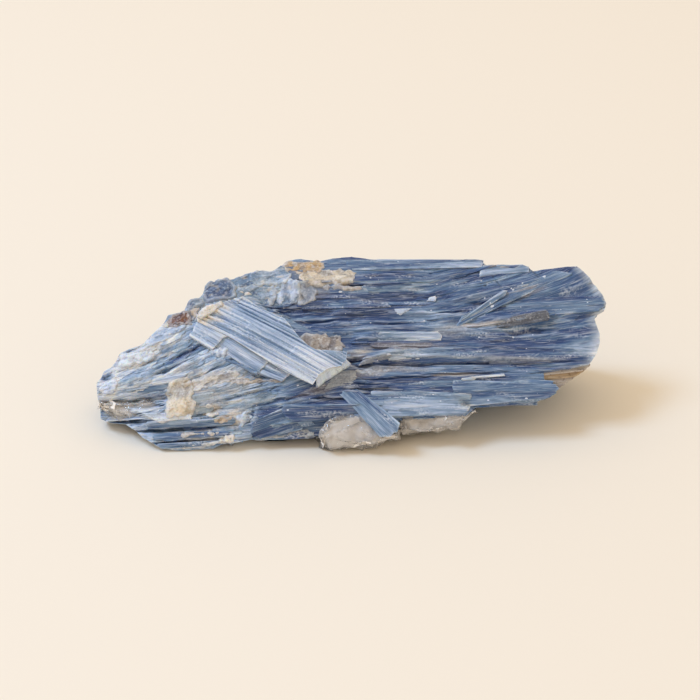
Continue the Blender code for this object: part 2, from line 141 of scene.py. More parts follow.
def back_point(x, height, lift):
    """Points of the back face in metres, and their outward normals."""
    x, height, lift = np.broadcast_arrays(x, height, lift)
    line = list(zip(*BACK_LINE))
    y = np.interp(x, *line) - height / math.tan(BACK_SLOPE)
    run = (np.interp(x + 2, *line) - np.interp(x - 2, *line)) / 4
    normal = np.stack([-run, run * 0 + 1, run * 0 + 1 / math.tan(BACK_SLOPE)], -1)
    normal /= np.linalg.norm(normal, axis=-1, keepdims=True)
    return (np.stack([x, y, height], -1) + normal * lift[..., None] + FACE_SHIFT) * MM, normal


def front_grain(x, rise):
    """Where places of the front lie along and across the grain, which climbs on the left."""
    climb = 0.42 * (np.hypot(np.maximum(0.0, 2 - x), 9) - 9)
    climb = climb * (0.2 + 0.8 * np.clip((rise - 3) / 10, 0, 1))
    above = turned(x, rise, BUNDLE_TURN, BUNDLE_MIDDLE)[1]
    climb = climb * np.clip((4 - above) / 5, 0, 1)
    fan = 0.32 * np.maximum(0.0, x - 16) * np.clip((rise - 21) / 17, 0, 1)
    return x + 1.3 * np.minimum(0.0, x + 12), rise + climb - fan + 0.5 * wander(x / 26, rise / 9, 2.0)


def back_grain(x, height):
    """Where places of the back lie along and across its nearly level grain."""
    return x + 0 * height, height + 0.04 * x + 0.8 * wander(x / 26, height / 9, 5.0)


# --- noise over grids of places

CELL_MARKS = (37, 53, 71)  # factors that tell a cell's random numbers apart


def at_each(x, y, seed, read):
    """What read says at each place: a grid of its numbers, or a grid for each of them."""
    x, y = np.broadcast_arrays(x, y)
    values = np.array([read((a, b, seed)) for a, b in zip(x.ravel().tolist(), y.ravel().tolist())])
    return values.T.reshape(values.shape[1:] + x.shape)


def wander(x, y, seed):
    """Smooth noise at each place, about -1 to 1."""
    return at_each(x, y, seed, noise.noise)


def plates(x, y, seed):
    """A random number, 0 to 1, for the pointed cell that each place lies in."""
    return at_each(x, y, seed, lambda place: noise.cell(noise.voronoi(place)[1][0] * CELL_MARKS[0]))


def crumbs(x, y, seed):
    """Rounded lumps one unit across: 1 on their tops and 0 in the clefts between them."""
    near, far = at_each(x, y, seed, lambda place: noise.voronoi(place)[0][:2])
    return np.clip((far - near) * 1.6, 0, 1)


def marked_cell(place):
    """The middle of the cell that a place lies in, and three random numbers for the cell."""
    middle = noise.voronoi(place)[1][0]
    return middle.x, middle.y, *(noise.cell(middle * mark) for mark in CELL_MARKS)


def facets(x, y, seed):
    """Flat facets one unit across, each tilted its own way, and a random number, 0 to 1, for each."""
    at_x, at_y, pick, tilt_x, tilt_y = at_each(x, y, seed, marked_cell)
    return pick - 0.5 + 1.6 * ((tilt_x - 0.5) * (x - at_x) + (tilt_y - 0.5) * (y - at_y)), pick


def fine_relief(along, across, seed):
    """How far the splintered surface stands above or below its blade, in millimetres."""
    height = 0.12 * (plates(along / 16, across / 1.5, seed) - 0.5)
    height += 0.07 * (plates(along / 5, across / 0.6, seed + 5) - 0.5)
    height += 0.1 * wander(along / 12, across / 1.2, seed)
    height += 0.03 * wander(along / 3, across / 0.3, seed + 9)
    crack = np.abs(wander(along / 28, across / 2.6, seed + 20))
    return height - 0.25 * np.clip(1 - crack / 0.012, 0, 1)


def fine_tone(along, across, seed):
    """How much paler or deeper the blue is at a place, in step with the relief."""
    tone = 0.08 * (plates(along / 16, across / 1.5, seed) - 0.5)
    tone += 0.12 * (plates(along / 5, across / 0.6, seed + 5) - 0.5)
    tone += 0.4 * wander(along / 14, across / 1.9, seed + 3)
    tone += 0.24 * wander(along / 8, across / 0.6, seed + 7)
    wisp = wander(along / 9, across / 0.5, seed + 11) + 0.3 * wander(along / 2, across / 0.3, seed + 13)
    return tone + 0.7 * np.clip(wisp - 0.28, 0, 0.5)


def blue(tone):
    """Kyanite from its deepest blue, below 0, to nearly white, at 1, and how strongly it is streaked."""
    channels = [np.interp(tone, (-0.3, 0, 0.25, 0.5, 0.75, 1), BLUES[:, k]) for k in range(3)]
    return np.stack([*channels, tone * 0 + 1], -1)


def stained(tint, finish, weight, tone):
    """A tint stained with a finish, which hides its streaks. tone lightens and darkens the stain."""
    target = np.append(STAINS[finish], 0.0) * (0.7 + 0.6 * tone)[..., None]
    target[..., 3] = 0.15
    return tint + (target - tint) * weight[..., None]


def turned(x, y, degrees, middle=(0, 0)):
    """Coordinates along and across a direction, from a middle."""
    turn = math.radians(degrees)
    x, y = x - middle[0], y - middle[1]
    return x * math.cos(turn) + y * math.sin(turn), y * math.cos(turn) - x * math.sin(turn)


# --- grids of places


def split(places):
    """The two coordinates of each place of a grid."""
    return places[..., 0], places[..., 1]


def shares(columns, rows):
    """From 0 to 1 along a grid, and from 0 to 1 across it."""
    return np.linspace(0, 1, columns)[:, None], np.linspace(0, 1, rows)[None]


def resample(points, count):
    """Even steps along a line of points."""
    points = np.array(points, dtype=float)
    steps = np.r_[0, np.cumsum(np.hypot(*np.diff(points, axis=0).T))]
    at = np.linspace(0, steps[-1], count + 1)
    return np.stack([np.interp(at, steps, points[:, k]) for k in (0, 1)], axis=1)


def patch(bottom, top, left, right, columns, rows):
    """The grid of places that blends four edges into one patch."""
    bottom, top = resample(bottom, columns)[:, None], resample(top, columns)[:, None]
    left, right = resample(left, rows)[None], resample(right, rows)[None]
    u, v = (share[..., None] for share in shares(columns + 1, rows + 1))
    ruled = (1 - v) * bottom + v * top + (1 - u) * left + u * right
    corners = (1 - u) * (1 - v) * bottom[:1] + u * (1 - v) * bottom[-1:]
    return ruled - corners - (1 - u) * v * top[:1] - u * v * top[-1:]


def blurred(grid, cells):
    """A grid of numbers, each averaged with its neighbours."""
    for axis, width in enumerate(cells):
        padding = [(width + 1, width) if k == axis else (0, 0) for k in (0, 1)]
        total = np.cumsum(np.pad(grid, padding, "edge"), axis)
        size, span = grid.shape[axis], 2 * width + 1
        grid = (total.take(range(span, span + size), axis) - total.take(range(size), axis)) / span
    return grid


def inside_edges(places):
    """How far each place is from a grid's ends and from its sides, roughly, and how wide the grid is."""
    columns, rows = places.shape[:2]
    length = np.linalg.norm(places[-1, rows // 2] - places[0, rows // 2])
    width = np.linalg.norm(places[columns // 2, -1] - places[columns // 2, 0])
    u, v = shares(columns, rows)
    return np.minimum(u, 1 - u) * length, np.minimum(v, 1 - v) * width, min(length, width)


def edge_distance(places):
    """How far each place of a grid is from the grid's own edge, in millimetres."""
    return np.minimum(*inside_edges(places)[:2])


def rounded_distance(places, corner=1.8):
    """How far each place of a grid is inside its outline, the corners rounded off, in millimetres."""
    from_end, from_side, width = inside_edges(places)
    reach = min(corner, width / 2)
    return reach - np.hypot(np.maximum(reach - from_end, 0), np.maximum(reach - from_side, 0))


# --- slabs


def new_piece():
    """An empty mesh whose points carry a tint, their place in the grain, and two directions."""
    bm = bmesh.new()
    bm.verts.layers.float_color.new("tint")
    for name in ("grain", "out", "inward"):
        bm.verts.layers.float_vector.new(name)
    return bm


def copied(node_name):
    """A copy of a solid, its loose triangles joined."""
    bm = new_piece()
    bm.from_mesh(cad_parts[node_name].data)
    bmesh.ops.remove_doubles(bm, verts=bm.verts, dist=1e-6)
    return bm


def meshed(name, bm):
    """Turns a bmesh into a mesh."""
    mesh = bpy.data.meshes.new(name)
    bm.to_mesh(mesh)
    bm.free()
    return mesh


def added(name, data):
    """A new object in the scene."""
    made = bpy.data.objects.new(name, data)
    bpy.context.scene.collection.objects.link(made)
    return made


def slab(point_at, places, lifts, tints, grains, steps, side_tint=None, thick=1.0):
    """A closed slab that follows a grid. steps are the drops and insets of its sides, in millimetres."""
    bm = new_piece()
    tint = bm.verts.layers.float_color["tint"]
    grain, out, inward = (bm.verts.layers.float_vector[name] for name in ("grain", "out", "inward"))
    columns, rows = (size - 1 for size in lifts.shape)
    points, normals = point_at(*split(places), lifts)
    inner = [np.clip(np.arange(size + 1), 1, size - 1) for size in (columns, rows)]
    to_inner = points[np.ix_(*inner)] - points
    to_inner -= normals * (to_inner * normals).sum(-1, keepdims=True)
    to_inner /= np.maximum(np.linalg.norm(to_inner, axis=-1, keepdims=True), 1e-9)
    # how far each place stands above its neighbours, which the kyanite material paints as highlight on ridges
    # and shade in clefts
    relief = lifts - blurred(lifts, (min(3, columns), min(5, rows)))
    normals = normals * np.broadcast_to(thick, lifts.shape)[..., None]
    grains = np.stack([*grains, relief], -1)
    tints = np.clip(tints, 0, 1)
    flat = [grid.reshape(-1, grid.shape[-1]).tolist() for grid in (points, tints, grains, normals, to_inner)]
    made = bmesh.ops.create_grid(bm, x_segments=columns, y_segments=rows, size=0.5)["verts"]
    for vert in made:
        at = round((vert.co.x + 0.5) * columns) * (rows + 1) + round((vert.co.y + 0.5) * rows)
        vert.co, vert[tint], vert[grain], vert[out], vert[inward] = (values[at] for values in flat)
    edges = [e for e in bm.edges if e.is_boundary]
    for edge in edges:
        edge.smooth = False
    for drop, inset in steps:
        geom = bmesh.ops.extrude_edge_only(bm, edges=edges)["geom"]
        edges = [e for e in geom if isinstance(e, bmesh.types.BMEdge) and e.is_boundary]
        for vert in (v for v in geom if isinstance(v, bmesh.types.BMVert)):
            vert.co += (vert[inward] * inset - vert[out] * drop) * MM
            vert[grain] = vert[grain] + Vector((0, drop, 0))
            if side_tint is not None:
                vert[tint] = (*side_tint, 0.3)
    bmesh.ops.holes_fill(bm, edges=edges, sides=0)
    return bm


def finished(name, parts, smooth=True):
    """Makes one piece of the object out of one or more bmeshes."""
    whole = new_piece()
    for part in parts:
        mesh = meshed("part", part)
        whole.from_mesh(mesh)
        bpy.data.meshes.remove(mesh)
    for vert in whole.verts:
        vert.co.z = max(vert.co.z, 0.0)
    for layer in ("out", "inward"):
        whole.verts.layers.float_vector.remove(whole.verts.layers.float_vector[layer])
    mesh = meshed(name, whole)
    if smooth:
        mesh.shade_smooth()
    return added(name, mesh)


# --- the lift of the solids


class LiftMap:
    """How far the solid stands out of a face, read at any place of it, in millimetres."""

    STEP = (0.5, 0.25)
    LOW = (-52.0, -2.0)
    ABOVE = 9.0  # where the rays start above the face
    BELOW = 7.0  # and how far they look below it

    def __init__(self, point_at, high, floor_at, cap_at):
        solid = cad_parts["kyanite_blades"]
        tree = BVHTree.FromObject(solid, bpy.context.evaluated_depsgraph_get())
        x, rise = np.meshgrid(*(np.arange(*span) for span in zip(self.LOW, high, self.STEP)), indexing="ij")
        starts, normals = point_at(x, rise, self.ABOVE)
        rays = zip(starts.reshape(-1, 3).tolist(), (-normals).reshape(-1, 3).tolist())
        far = [tree.ray_cast(start, ray, (self.ABOVE + self.BELOW) * MM)[3] for start, ray in rays]
        lift = self.ABOVE - np.array([np.nan if d is None else d / MM for d in far]).reshape(x.shape)
        lift = np.where(lift > floor_at(x, rise), np.minimum(lift, cap_at(x, rise)), np.nan)
        self.grid = blurred(self.filled(lift), (3, 2))

    @staticmethod
    def filled(grid):
        """Gives each place off the solid the lift of its nearest neighbours."""
        while np.isnan(grid).any():
            padded = np.pad(grid, 1, constant_values=np.nan)
            near = np.stack([padded[:-2, 1:-1], padded[2:, 1:-1], padded[1:-1, :-2], padded[1:-1, 2:]])
            count = (~np.isnan(near)).sum(0)
            mean = np.nansum(near, 0) / np.maximum(count, 1)
            grid = np.where(np.isnan(grid) & (count > 0), mean, grid)
        return grid

    def __call__(self, x, rise):
        at = [(value - low) / step for value, low, step in zip((x, rise), self.LOW, self.STEP)]
        at = [np.clip(value, 0, size - 1.001) for value, size in zip(at, self.grid.shape)]
        i, j = (value.astype(int) for value in at)
        u, v = at[0] - i, at[1] - j
        low = self.grid[i, j] * (1 - u) + self.grid[i + 1, j] * u
        high = self.grid[i, j + 1] * (1 - u) + self.grid[i + 1, j + 1] * u
        return low * (1 - v) + high * v


def in_bundle(x, rise):
    """Whether a place lies under the crossing bundle."""
    along, across = turned(x, rise, BUNDLE_TURN, BUNDLE_MIDDLE)
    return (np.abs(along) < BUNDLE_HALF_LENGTH) & (np.abs(across) < BUNDLE_HALF_WIDTH)


def beside_bundle(x, rise):
    """Whether a place lies in the hollow above the bundle's lower end."""
    along, across = turned(x, rise, BUNDLE_TURN, BUNDLE_MIDDLE)
    return (along > 1) & (along < 18) & (across > 3.4) & (across < 10)


def over_mica(x, rise):
    """Whether a place lies on the right end, which hangs over the mica."""
    return (x > RIGHT_END) & (rise > 17)


def front_floor(x, rise):
    """The least lift that counts as the front: lower in the seam's pocket, higher over the mica."""
    floor = np.where((x < SEAM_END) & (rise > 6) & (rise < 11.5), -3.4, -0.9)
    return np.where(over_mica(x, rise), 0.4, floor)


def front_cap(x, rise):
    """The most lift that the front's sheet follows."""
    cap = np.where(beside_bundle(x, rise), 0.6, np.where(in_bundle(x, rise), 1.4, 2.4))
    return np.where(over_mica(x, rise), 1.7, cap)


# --- the front and back sheets

# Where the front is stained or of another tone: the finish, X, rise, half length, half height, turn in
# degrees and strength. Tones are steps of blue, up for pale and down for deep.
FRONT_PATCHES = [
    (0.16, -42, 15, 12, 9, 0, 1.0),
    (0.3, -42, 19.5, 5, 2.2, 22, 1.0),
    (0.3, -37, 24.5, 4, 1.8, 30, 1.0),
    (0.25, -48, 12.5, 2.6, 4, 0, 1.0),
    (-0.3, -48.2, 15.1, 1.3, 0.9, 20, 1.0),
    (-0.25, -38, 17.0, 9, 1.3, 26, 1.0),
    (-0.25, -36, 12.8, 3.6, 0.9, 10, 0.8),
    (-0.3, -30, 20.5, 5, 1.2, 28, 0.8),
    ("moss", -22, 34.5, 9, 4.0, 22, 0.9),
    ("moss", -30.5, 30, 2.6, 2.6, 35, 0.9),
    ("cream", -22.5, 33.0, 1.6, 0.9, 0, 0.7),
    ("cream", -17.2, 36.3, 2.0, 0.9, 20, 0.6),
    ("cream", -15.5, 34.2, 1.0, 0.9, 0, 0.7),
    ("cream", -13.0, 37.6, 2.2, 0.9, 30, 0.5),
    (0.22, -13.3, 32.7, 1.8, 2.5, 0, 1.0),
    ("grey", -10.9, 33.5, 0.9, 2.8, 0, 0.8),
    ("cream", -5.5, 35.6, 5.5, 1.3, -10, 0.8),
    ("tan", -2.0, 34.6, 3.0, 0.6, -10, 0.6),
    ("cream", -6.5, 32.5, 2.6, 1.4, 0, 0.35),
    (-0.3, -8.5, 29.0, 5, 1.4, 0, 1.0),
    ("warm", 0.5, 19.2, 4.5, 1.2, 0, 0.6),
    (0.1, 12, 38.8, 16, 1.2, 0, 1.0),
    ("cream", 29.8, 38.0, 2.2, 0.6, 0, 0.8),
    (0.35, 13.5, 32.6, 3.2, 0.6, -14, 1.0),
    (-0.25, 10, 31.2, 9, 1.0, 2, 1.0),
    (0.15, 14.5, 27.5, 5, 1.5, 0, 1.0),
    (-0.25, 4, 28.0, 8, 2.0, 0, 0.8),
    ("warm", 26, 25.2, 6.5, 0.6, 4, 0.8),
    ("grey", 20, 24.0, 4, 1.6, 0, 0.7),
    (0.3, 11.3, 22.7, 6.2, 1.0, 0, 1.0),
    ("warm", 10, 20.9, 9, 0.8, 0, 0.8),
    ("cream", 2.5, 20.0, 3.5, 0.7, 0, 0.6),
    (0.15, 14, 19.0, 8, 1.2, 0, 1.0),
    (-0.2, 30, 21.5, 7, 1.6, 0, 1.0),
    (-0.15, 26, 28.5, 8, 1.8, 12, 1.0),
    ("grey", 8, 16.3, 9, 0.8, 0, 0.9),
    ("grey", 33, 18.0, 8, 0.7, 0, 0.6),
    ("cream", 20, 15.1, 4.0, 0.4, 2, 0.8),
    ("warm", 4, 15.6, 7, 1.0, 10, 0.5),
    (0.1, 46.5, 20.5, 3, 4, 60, 1.0),
    ("warm", 35, 32.5, 4, 0.9, 22, 0.6),
    (-0.15, 30, 11.5, 9, 1.6, 3, 1.0),
    (0.1, 13, 9.5, 9, 2.0, 0, 1.0),
    (-0.3, 19, 12.2, 6, 0.6, 0, 1.0),
    (-0.2, 3, 12.6, 5, 1.2, 0, 0.8),
    (-0.15, -4, 11.5, 8, 2.2, 12, 1.0),
    ("warm", -6, 12.0, 6, 0.8, 20, 0.5),
    ("cream", -26.5, 14.2, 6, 1.5, 12, 0.4),
    ("cream", -21.5, 13.0, 4, 1.2, 12, 0.25),
    ("grey", -28, 9.4, 3.2, 2.2, 0, 0.8),
    ("cream", -22.5, 6.5, 2.0, 1.6, 0, 0.7),
    ("cream", -27.5, 7.9, 2.0, 1.2, 0, 0.8),
    ("tan", -25.0, 6.1, 1.9, 0.9, 10, 1.0),
    ("warm", -29, 3.6, 4, 0.7, 8, 0.9),
    ("cream", -30, 1.7, 5, 0.9, 5, 0.8),
    (-0.3, -34.5, 2.1, 2.6, 0.4, 0, 1.0),
    (-0.25, -27, 5.0, 6, 0.5, 4, 1.0),
    (-0.3, -16, 7.5, 3, 3.0, 20, 0.8),
    (-0.3, -9.5, 3.0, 3.5, 1.5, 0, 1.0),
]


# Narrow clefts cut into the front, with painted shade in them: X, rise, half length, half height, turn in
# degrees and depth.
CLEFTS = [
    (24.5, 17.5, 16, 0.22, 1, 0.7),
    (23.0, 15.4, 7, 0.2, 2, 0.7),
    (1.6, 17.6, 1.9, 0.8, -10, 1.4),
    (34.5, 23.9, 5.5, 0.5, 5, 0.9),
    (-0.1, 33.8, 1.8, 0.4, -5, 1.2),
    (-13.0, 28.0, 3.2, 1.0, 0, 0.8),
    (-41.2, 5.9, 2.2, 0.45, 0, 1.6),
    (-32.5, 4.4, 7.0, 0.35, 2.7, 1.5),
    (-31.0, 2.1, 6.5, 0.3, 4, 1.4),
    (-20.0, 6.0, 0.5, 2.4, -20, 0.9),
    (-15.0, 9.7, 4, 0.35, 12, 0.8),
    (-4.0, 10.3, 5, 0.3, -5, 0.8),
    (12.0, 14.6, 8, 0.18, 3, 0.6),
    (38.0, 28.8, 6, 0.25, 8, 0.6),
    (28.0, 30.6, 6, 0.25, 14, 0.5),
    (20.0, 27.9, 4, 0.25, 5, 0.5),
    (8.0, 25.6, 6, 0.25, 2, 0.5),
    (14.0, 20.6, 9, 0.2, 1, 0.5),
    (-48.2, 15.1, 1.3, 0.6, 10, 0.8),
    (-40.5, 17.6, 4.5, 0.3, 18, 0.7),
    (-36.0, 16.2, 4.5, 0.35, 24, 0.7),
    (-33.0, 19.4, 5, 0.35, 30, 0.8),
    (-27.5, 15.8, 4, 0.3, 24, 0.7),
    (-43.0, 20.6, 2.5, 0.3, 24, 0.6),
    (-6.0, 26.4, 5, 0.25, 2, 0.6),
    (-20.0, 11.2, 5, 0.25, 14, 0.6),
]


def clefts(x, rise):
    """How deep the clefts cut at each place, in millimetres."""
    ragged = 0.5 * wander(x / 3, rise / 0.5, 5.5)
    depth = 0.0 * x
    for at_x, at_rise, length, height, turn, deep in CLEFTS:
        u, v = turned(x, rise, turn, (at_x, at_rise))
        v = v + 0.08 * np.sin(u * 6 / length + at_x)
        depth = np.maximum(depth, deep * np.clip(1.5 - np.hypot(u / length, v / height) + ragged, 0, 1))
    return depth


def right_edge(rise):
    """Where the front ends on the right."""
    return np.interp(rise, *zip(*[(at_rise, x) for x, at_rise in FRONT_RIGHT[3:]]))


def front_tint(x, rise, along, across):
    """The colour of the front face, before its streaks."""
    # painted light: the front grows paler within 2.2 mm of its right end, as if lit through its thin edge
    painted_rim_light = np.clip(1 - (right_edge(rise) - x) / 2.2, 0, 1) * (rise > 16.5)
    left = np.clip((-x - 5) / 18, 0, 1)
    # painted shade: the tone deepens where the clefts cut, as shade falls in them
    fine = fine_tone(along, across, FRONT_SEED) - 0.45 * np.clip(clefts(x, rise), 0, 1)
    tone = 0.3 + 0.43 * left + 0.26 * painted_rim_light + (1 - 0.25 * left) * fine
    ragged = 0.5 * wander(along / 3, across / 0.7, 3.3) + 0.2 * wander(x / 0.7, rise / 0.5, 7.7)
    stains = []
    for finish, at_x, at_rise, length, height, turn, strength in FRONT_PATCHES:
        u, v = turned(x, rise, turn, (at_x, at_rise))
        far = np.hypot(u / length, v / height) + ragged
        weight = strength * np.clip((1.2 - far) / 0.55, 0, 1)
        if isinstance(finish, str):
            stains.append((finish, weight))
        else:
            tone = tone + 1.3 * finish * weight
    tint = blue(tone)
    tint[..., 3] = 1 - 0.35 * np.clip((-x - 8) / 18, 0, 1)
    # the same painted rim light, laid on as the pale finish
    tint = stained(tint, "pale", 0.4 * painted_rim_light, tone)
    for finish, weight in stains:
        tint = stained(tint, finish, weight * 0.75, tone)
    return tint


def back_tint(x, height, along, across):
    """The colour of the back, with patches of moss grey and warm grey."""
    tone = 0.44 + fine_tone(along, across, BACK_SEED)
    moss = wander(x / 9, height / 5, 60.0) + 0.4 * wander(x / 2, height, 61.0)
    rust = wander(x / 7, height / 4, 70.0) + 0.5 * wander(x / 1.5, height / 0.8, 71.0)
    tint = stained(blue(tone), "moss", np.clip(moss * 2, 0, 0.7), tone)
    return stained(tint, "warm", np.clip(rust * 3 - 0.6, 0, 0.55), tone)


FRONT_SEED, BACK_SEED = 1.0, 31.0
FRONT_CELLS = ((430, 320))
BACK_CELLS = ((240, 140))
# The drop and the inset of each step of a sheet's sides.
SHEET_STEPS = ((0.2, 0.03), (0.7, 0.05), (1.0, -0.05), (1.6, 0.3))


def sheet(face, places, seed, thick=1.0):
    """A slab of fine relief over one face of the grown blades, which follows their steps."""
    point_at, grain_at, lift_at, tint_at = face
    x, rise = split(places)
    along, across = grain_at(x, rise)
    shaken_x = x + 1.4 * wander(along / 4, across / 0.6, seed + 50)
    shaken_rise = rise + 0.3 * wander(along / 5, across / 1.5, seed + 60)
    lifts = lift_at(shaken_x, shaken_rise) + fine_relief(along, across, seed)
    tint = tint_at(x, rise, along, across)
    return slab(point_at, places, lifts, tint, (along, across), SHEET_STEPS, thick=thick)


def front_thickness(x, rise):
    """The front sheet's thickness, as a share of its usual one: less where it hangs over the mica."""
    return 1 - 0.62 * np.clip((x - RIGHT_END) / 2, 0, 1) * (rise > 15.5)


def make_front(face):
    """The front's sheet, as a left and a right piece that share their seam."""
    places = patch(FRONT_BOTTOM, FRONT_TOP, FRONT_LEFT, FRONT_RIGHT, *FRONT_CELLS)
    middle = FRONT_CELLS[0] // 2
    made = []
    for name, half in ("front_left", places[: middle + 1]), ("front_right", places[middle:]):
        made.append(finished(name, [sheet(face, half, FRONT_SEED, front_thickness(*split(half)))]))
    return made


BACK_FOOT = [(-49.0, 4), (-40, 1.5), (-28, 0.6), (-10, 0.3), (15, 0.3), (35, 1.5), (45, 6), (50.0, 13)]


def make_back(face):
    """The back's sheet, from the foot to just under the crest."""
    crest = [(x, front_point(x, rise, 0)[0][2] / MM - 0.6) for x, rise in FRONT_TOP if -49 <= x < 45]
    crest = [(-48.0, 10.8), *crest[1:-1], (45.0, 24.0), (47.0, 21.5)]
    places = patch(BACK_FOOT, crest, [BACK_FOOT[0], crest[0]], [BACK_FOOT[-1], crest[-1]], *BACK_CELLS)
    return finished("back_face", [sheet(face, places[::-1], BACK_SEED)])


CORE_DEPTH = 1.3  # how far the core lies under the faces


def make_core():
    """The body between the two sheets: the solid's own ends and underside, with its faces set deeper."""
    bm = copied("kyanite_blades")
    tint, grain = bm.verts.layers.float_color["tint"], bm.verts.layers.float_vector["grain"]
    place = np.array([v.co for v in bm.verts]) / MM - FACE_SHIFT
    x, back, up = place.T
    from_axis = math.sin(SLOPE_FOOT) * FACE_RADIUS - back, up + math.cos(SLOPE_FOOT) * FACE_RADIUS
    angle = np.arctan2(*from_axis)
    lift = np.hypot(*from_axis) - FACE_RADIUS + length_bend(x)
    rise = FACE_RADIUS * (SLOPE_FOOT - angle)
    deeper = CORE_DEPTH + 2.6 * (in_bundle(x, rise) | beside_bundle(x, rise))
    deeper = np.maximum(deeper, (lift - 0.2) * ((x > 34) & (rise > 15)))
    place -= front_normal(angle) * (deeper * np.clip((lift + 5) / 3, 0, 1))[:, None]
    behind, out = back_point(x, up, 0)
    depth = ((place - (behind / MM - FACE_SHIFT)) * out).sum(-1)
    place -= out * (CORE_DEPTH * np.clip((depth + 4) / 3, 0, 1))[:, None]
    place[:, 0] = np.clip(place[:, 0] * 0.985, -48.6, right_edge(rise) - 1.2)
    front = np.clip(2 - back / 9, 0, 1) * np.clip((7 - up) / 4, 0, 1)
    place[:, 1] += 3.5 * front * ((x > -8) | (x < -38))
    raised = np.interp(x, (-50, -42, -38, -28, -24, -6, 10, 16, 24, 40), (4, 4, 0, 0, 1.4, 1.4, 0, 1, 5, 8))
    place[:, 2] = np.maximum(place[:, 2], raised * front)
    tone = 0.4 + 0.5 * wander(x / 14, up / 1.6, 14.0) + 0.2 * wander(x / 3, up / 3, 15.0)
    values = (place + FACE_SHIFT) * MM, blue(tone), np.stack([x, back * 0.5 + up, x * 0], -1)
    for vert, *row in zip(bm.verts, *(value.tolist() for value in values)):
        vert.co, vert[tint], vert[grain] = row
    return finished("core", [bm], smooth=False)


# --- hero blades

BLADE_CELL = 0.17  # the size of a blade's faces across it, in millimetres

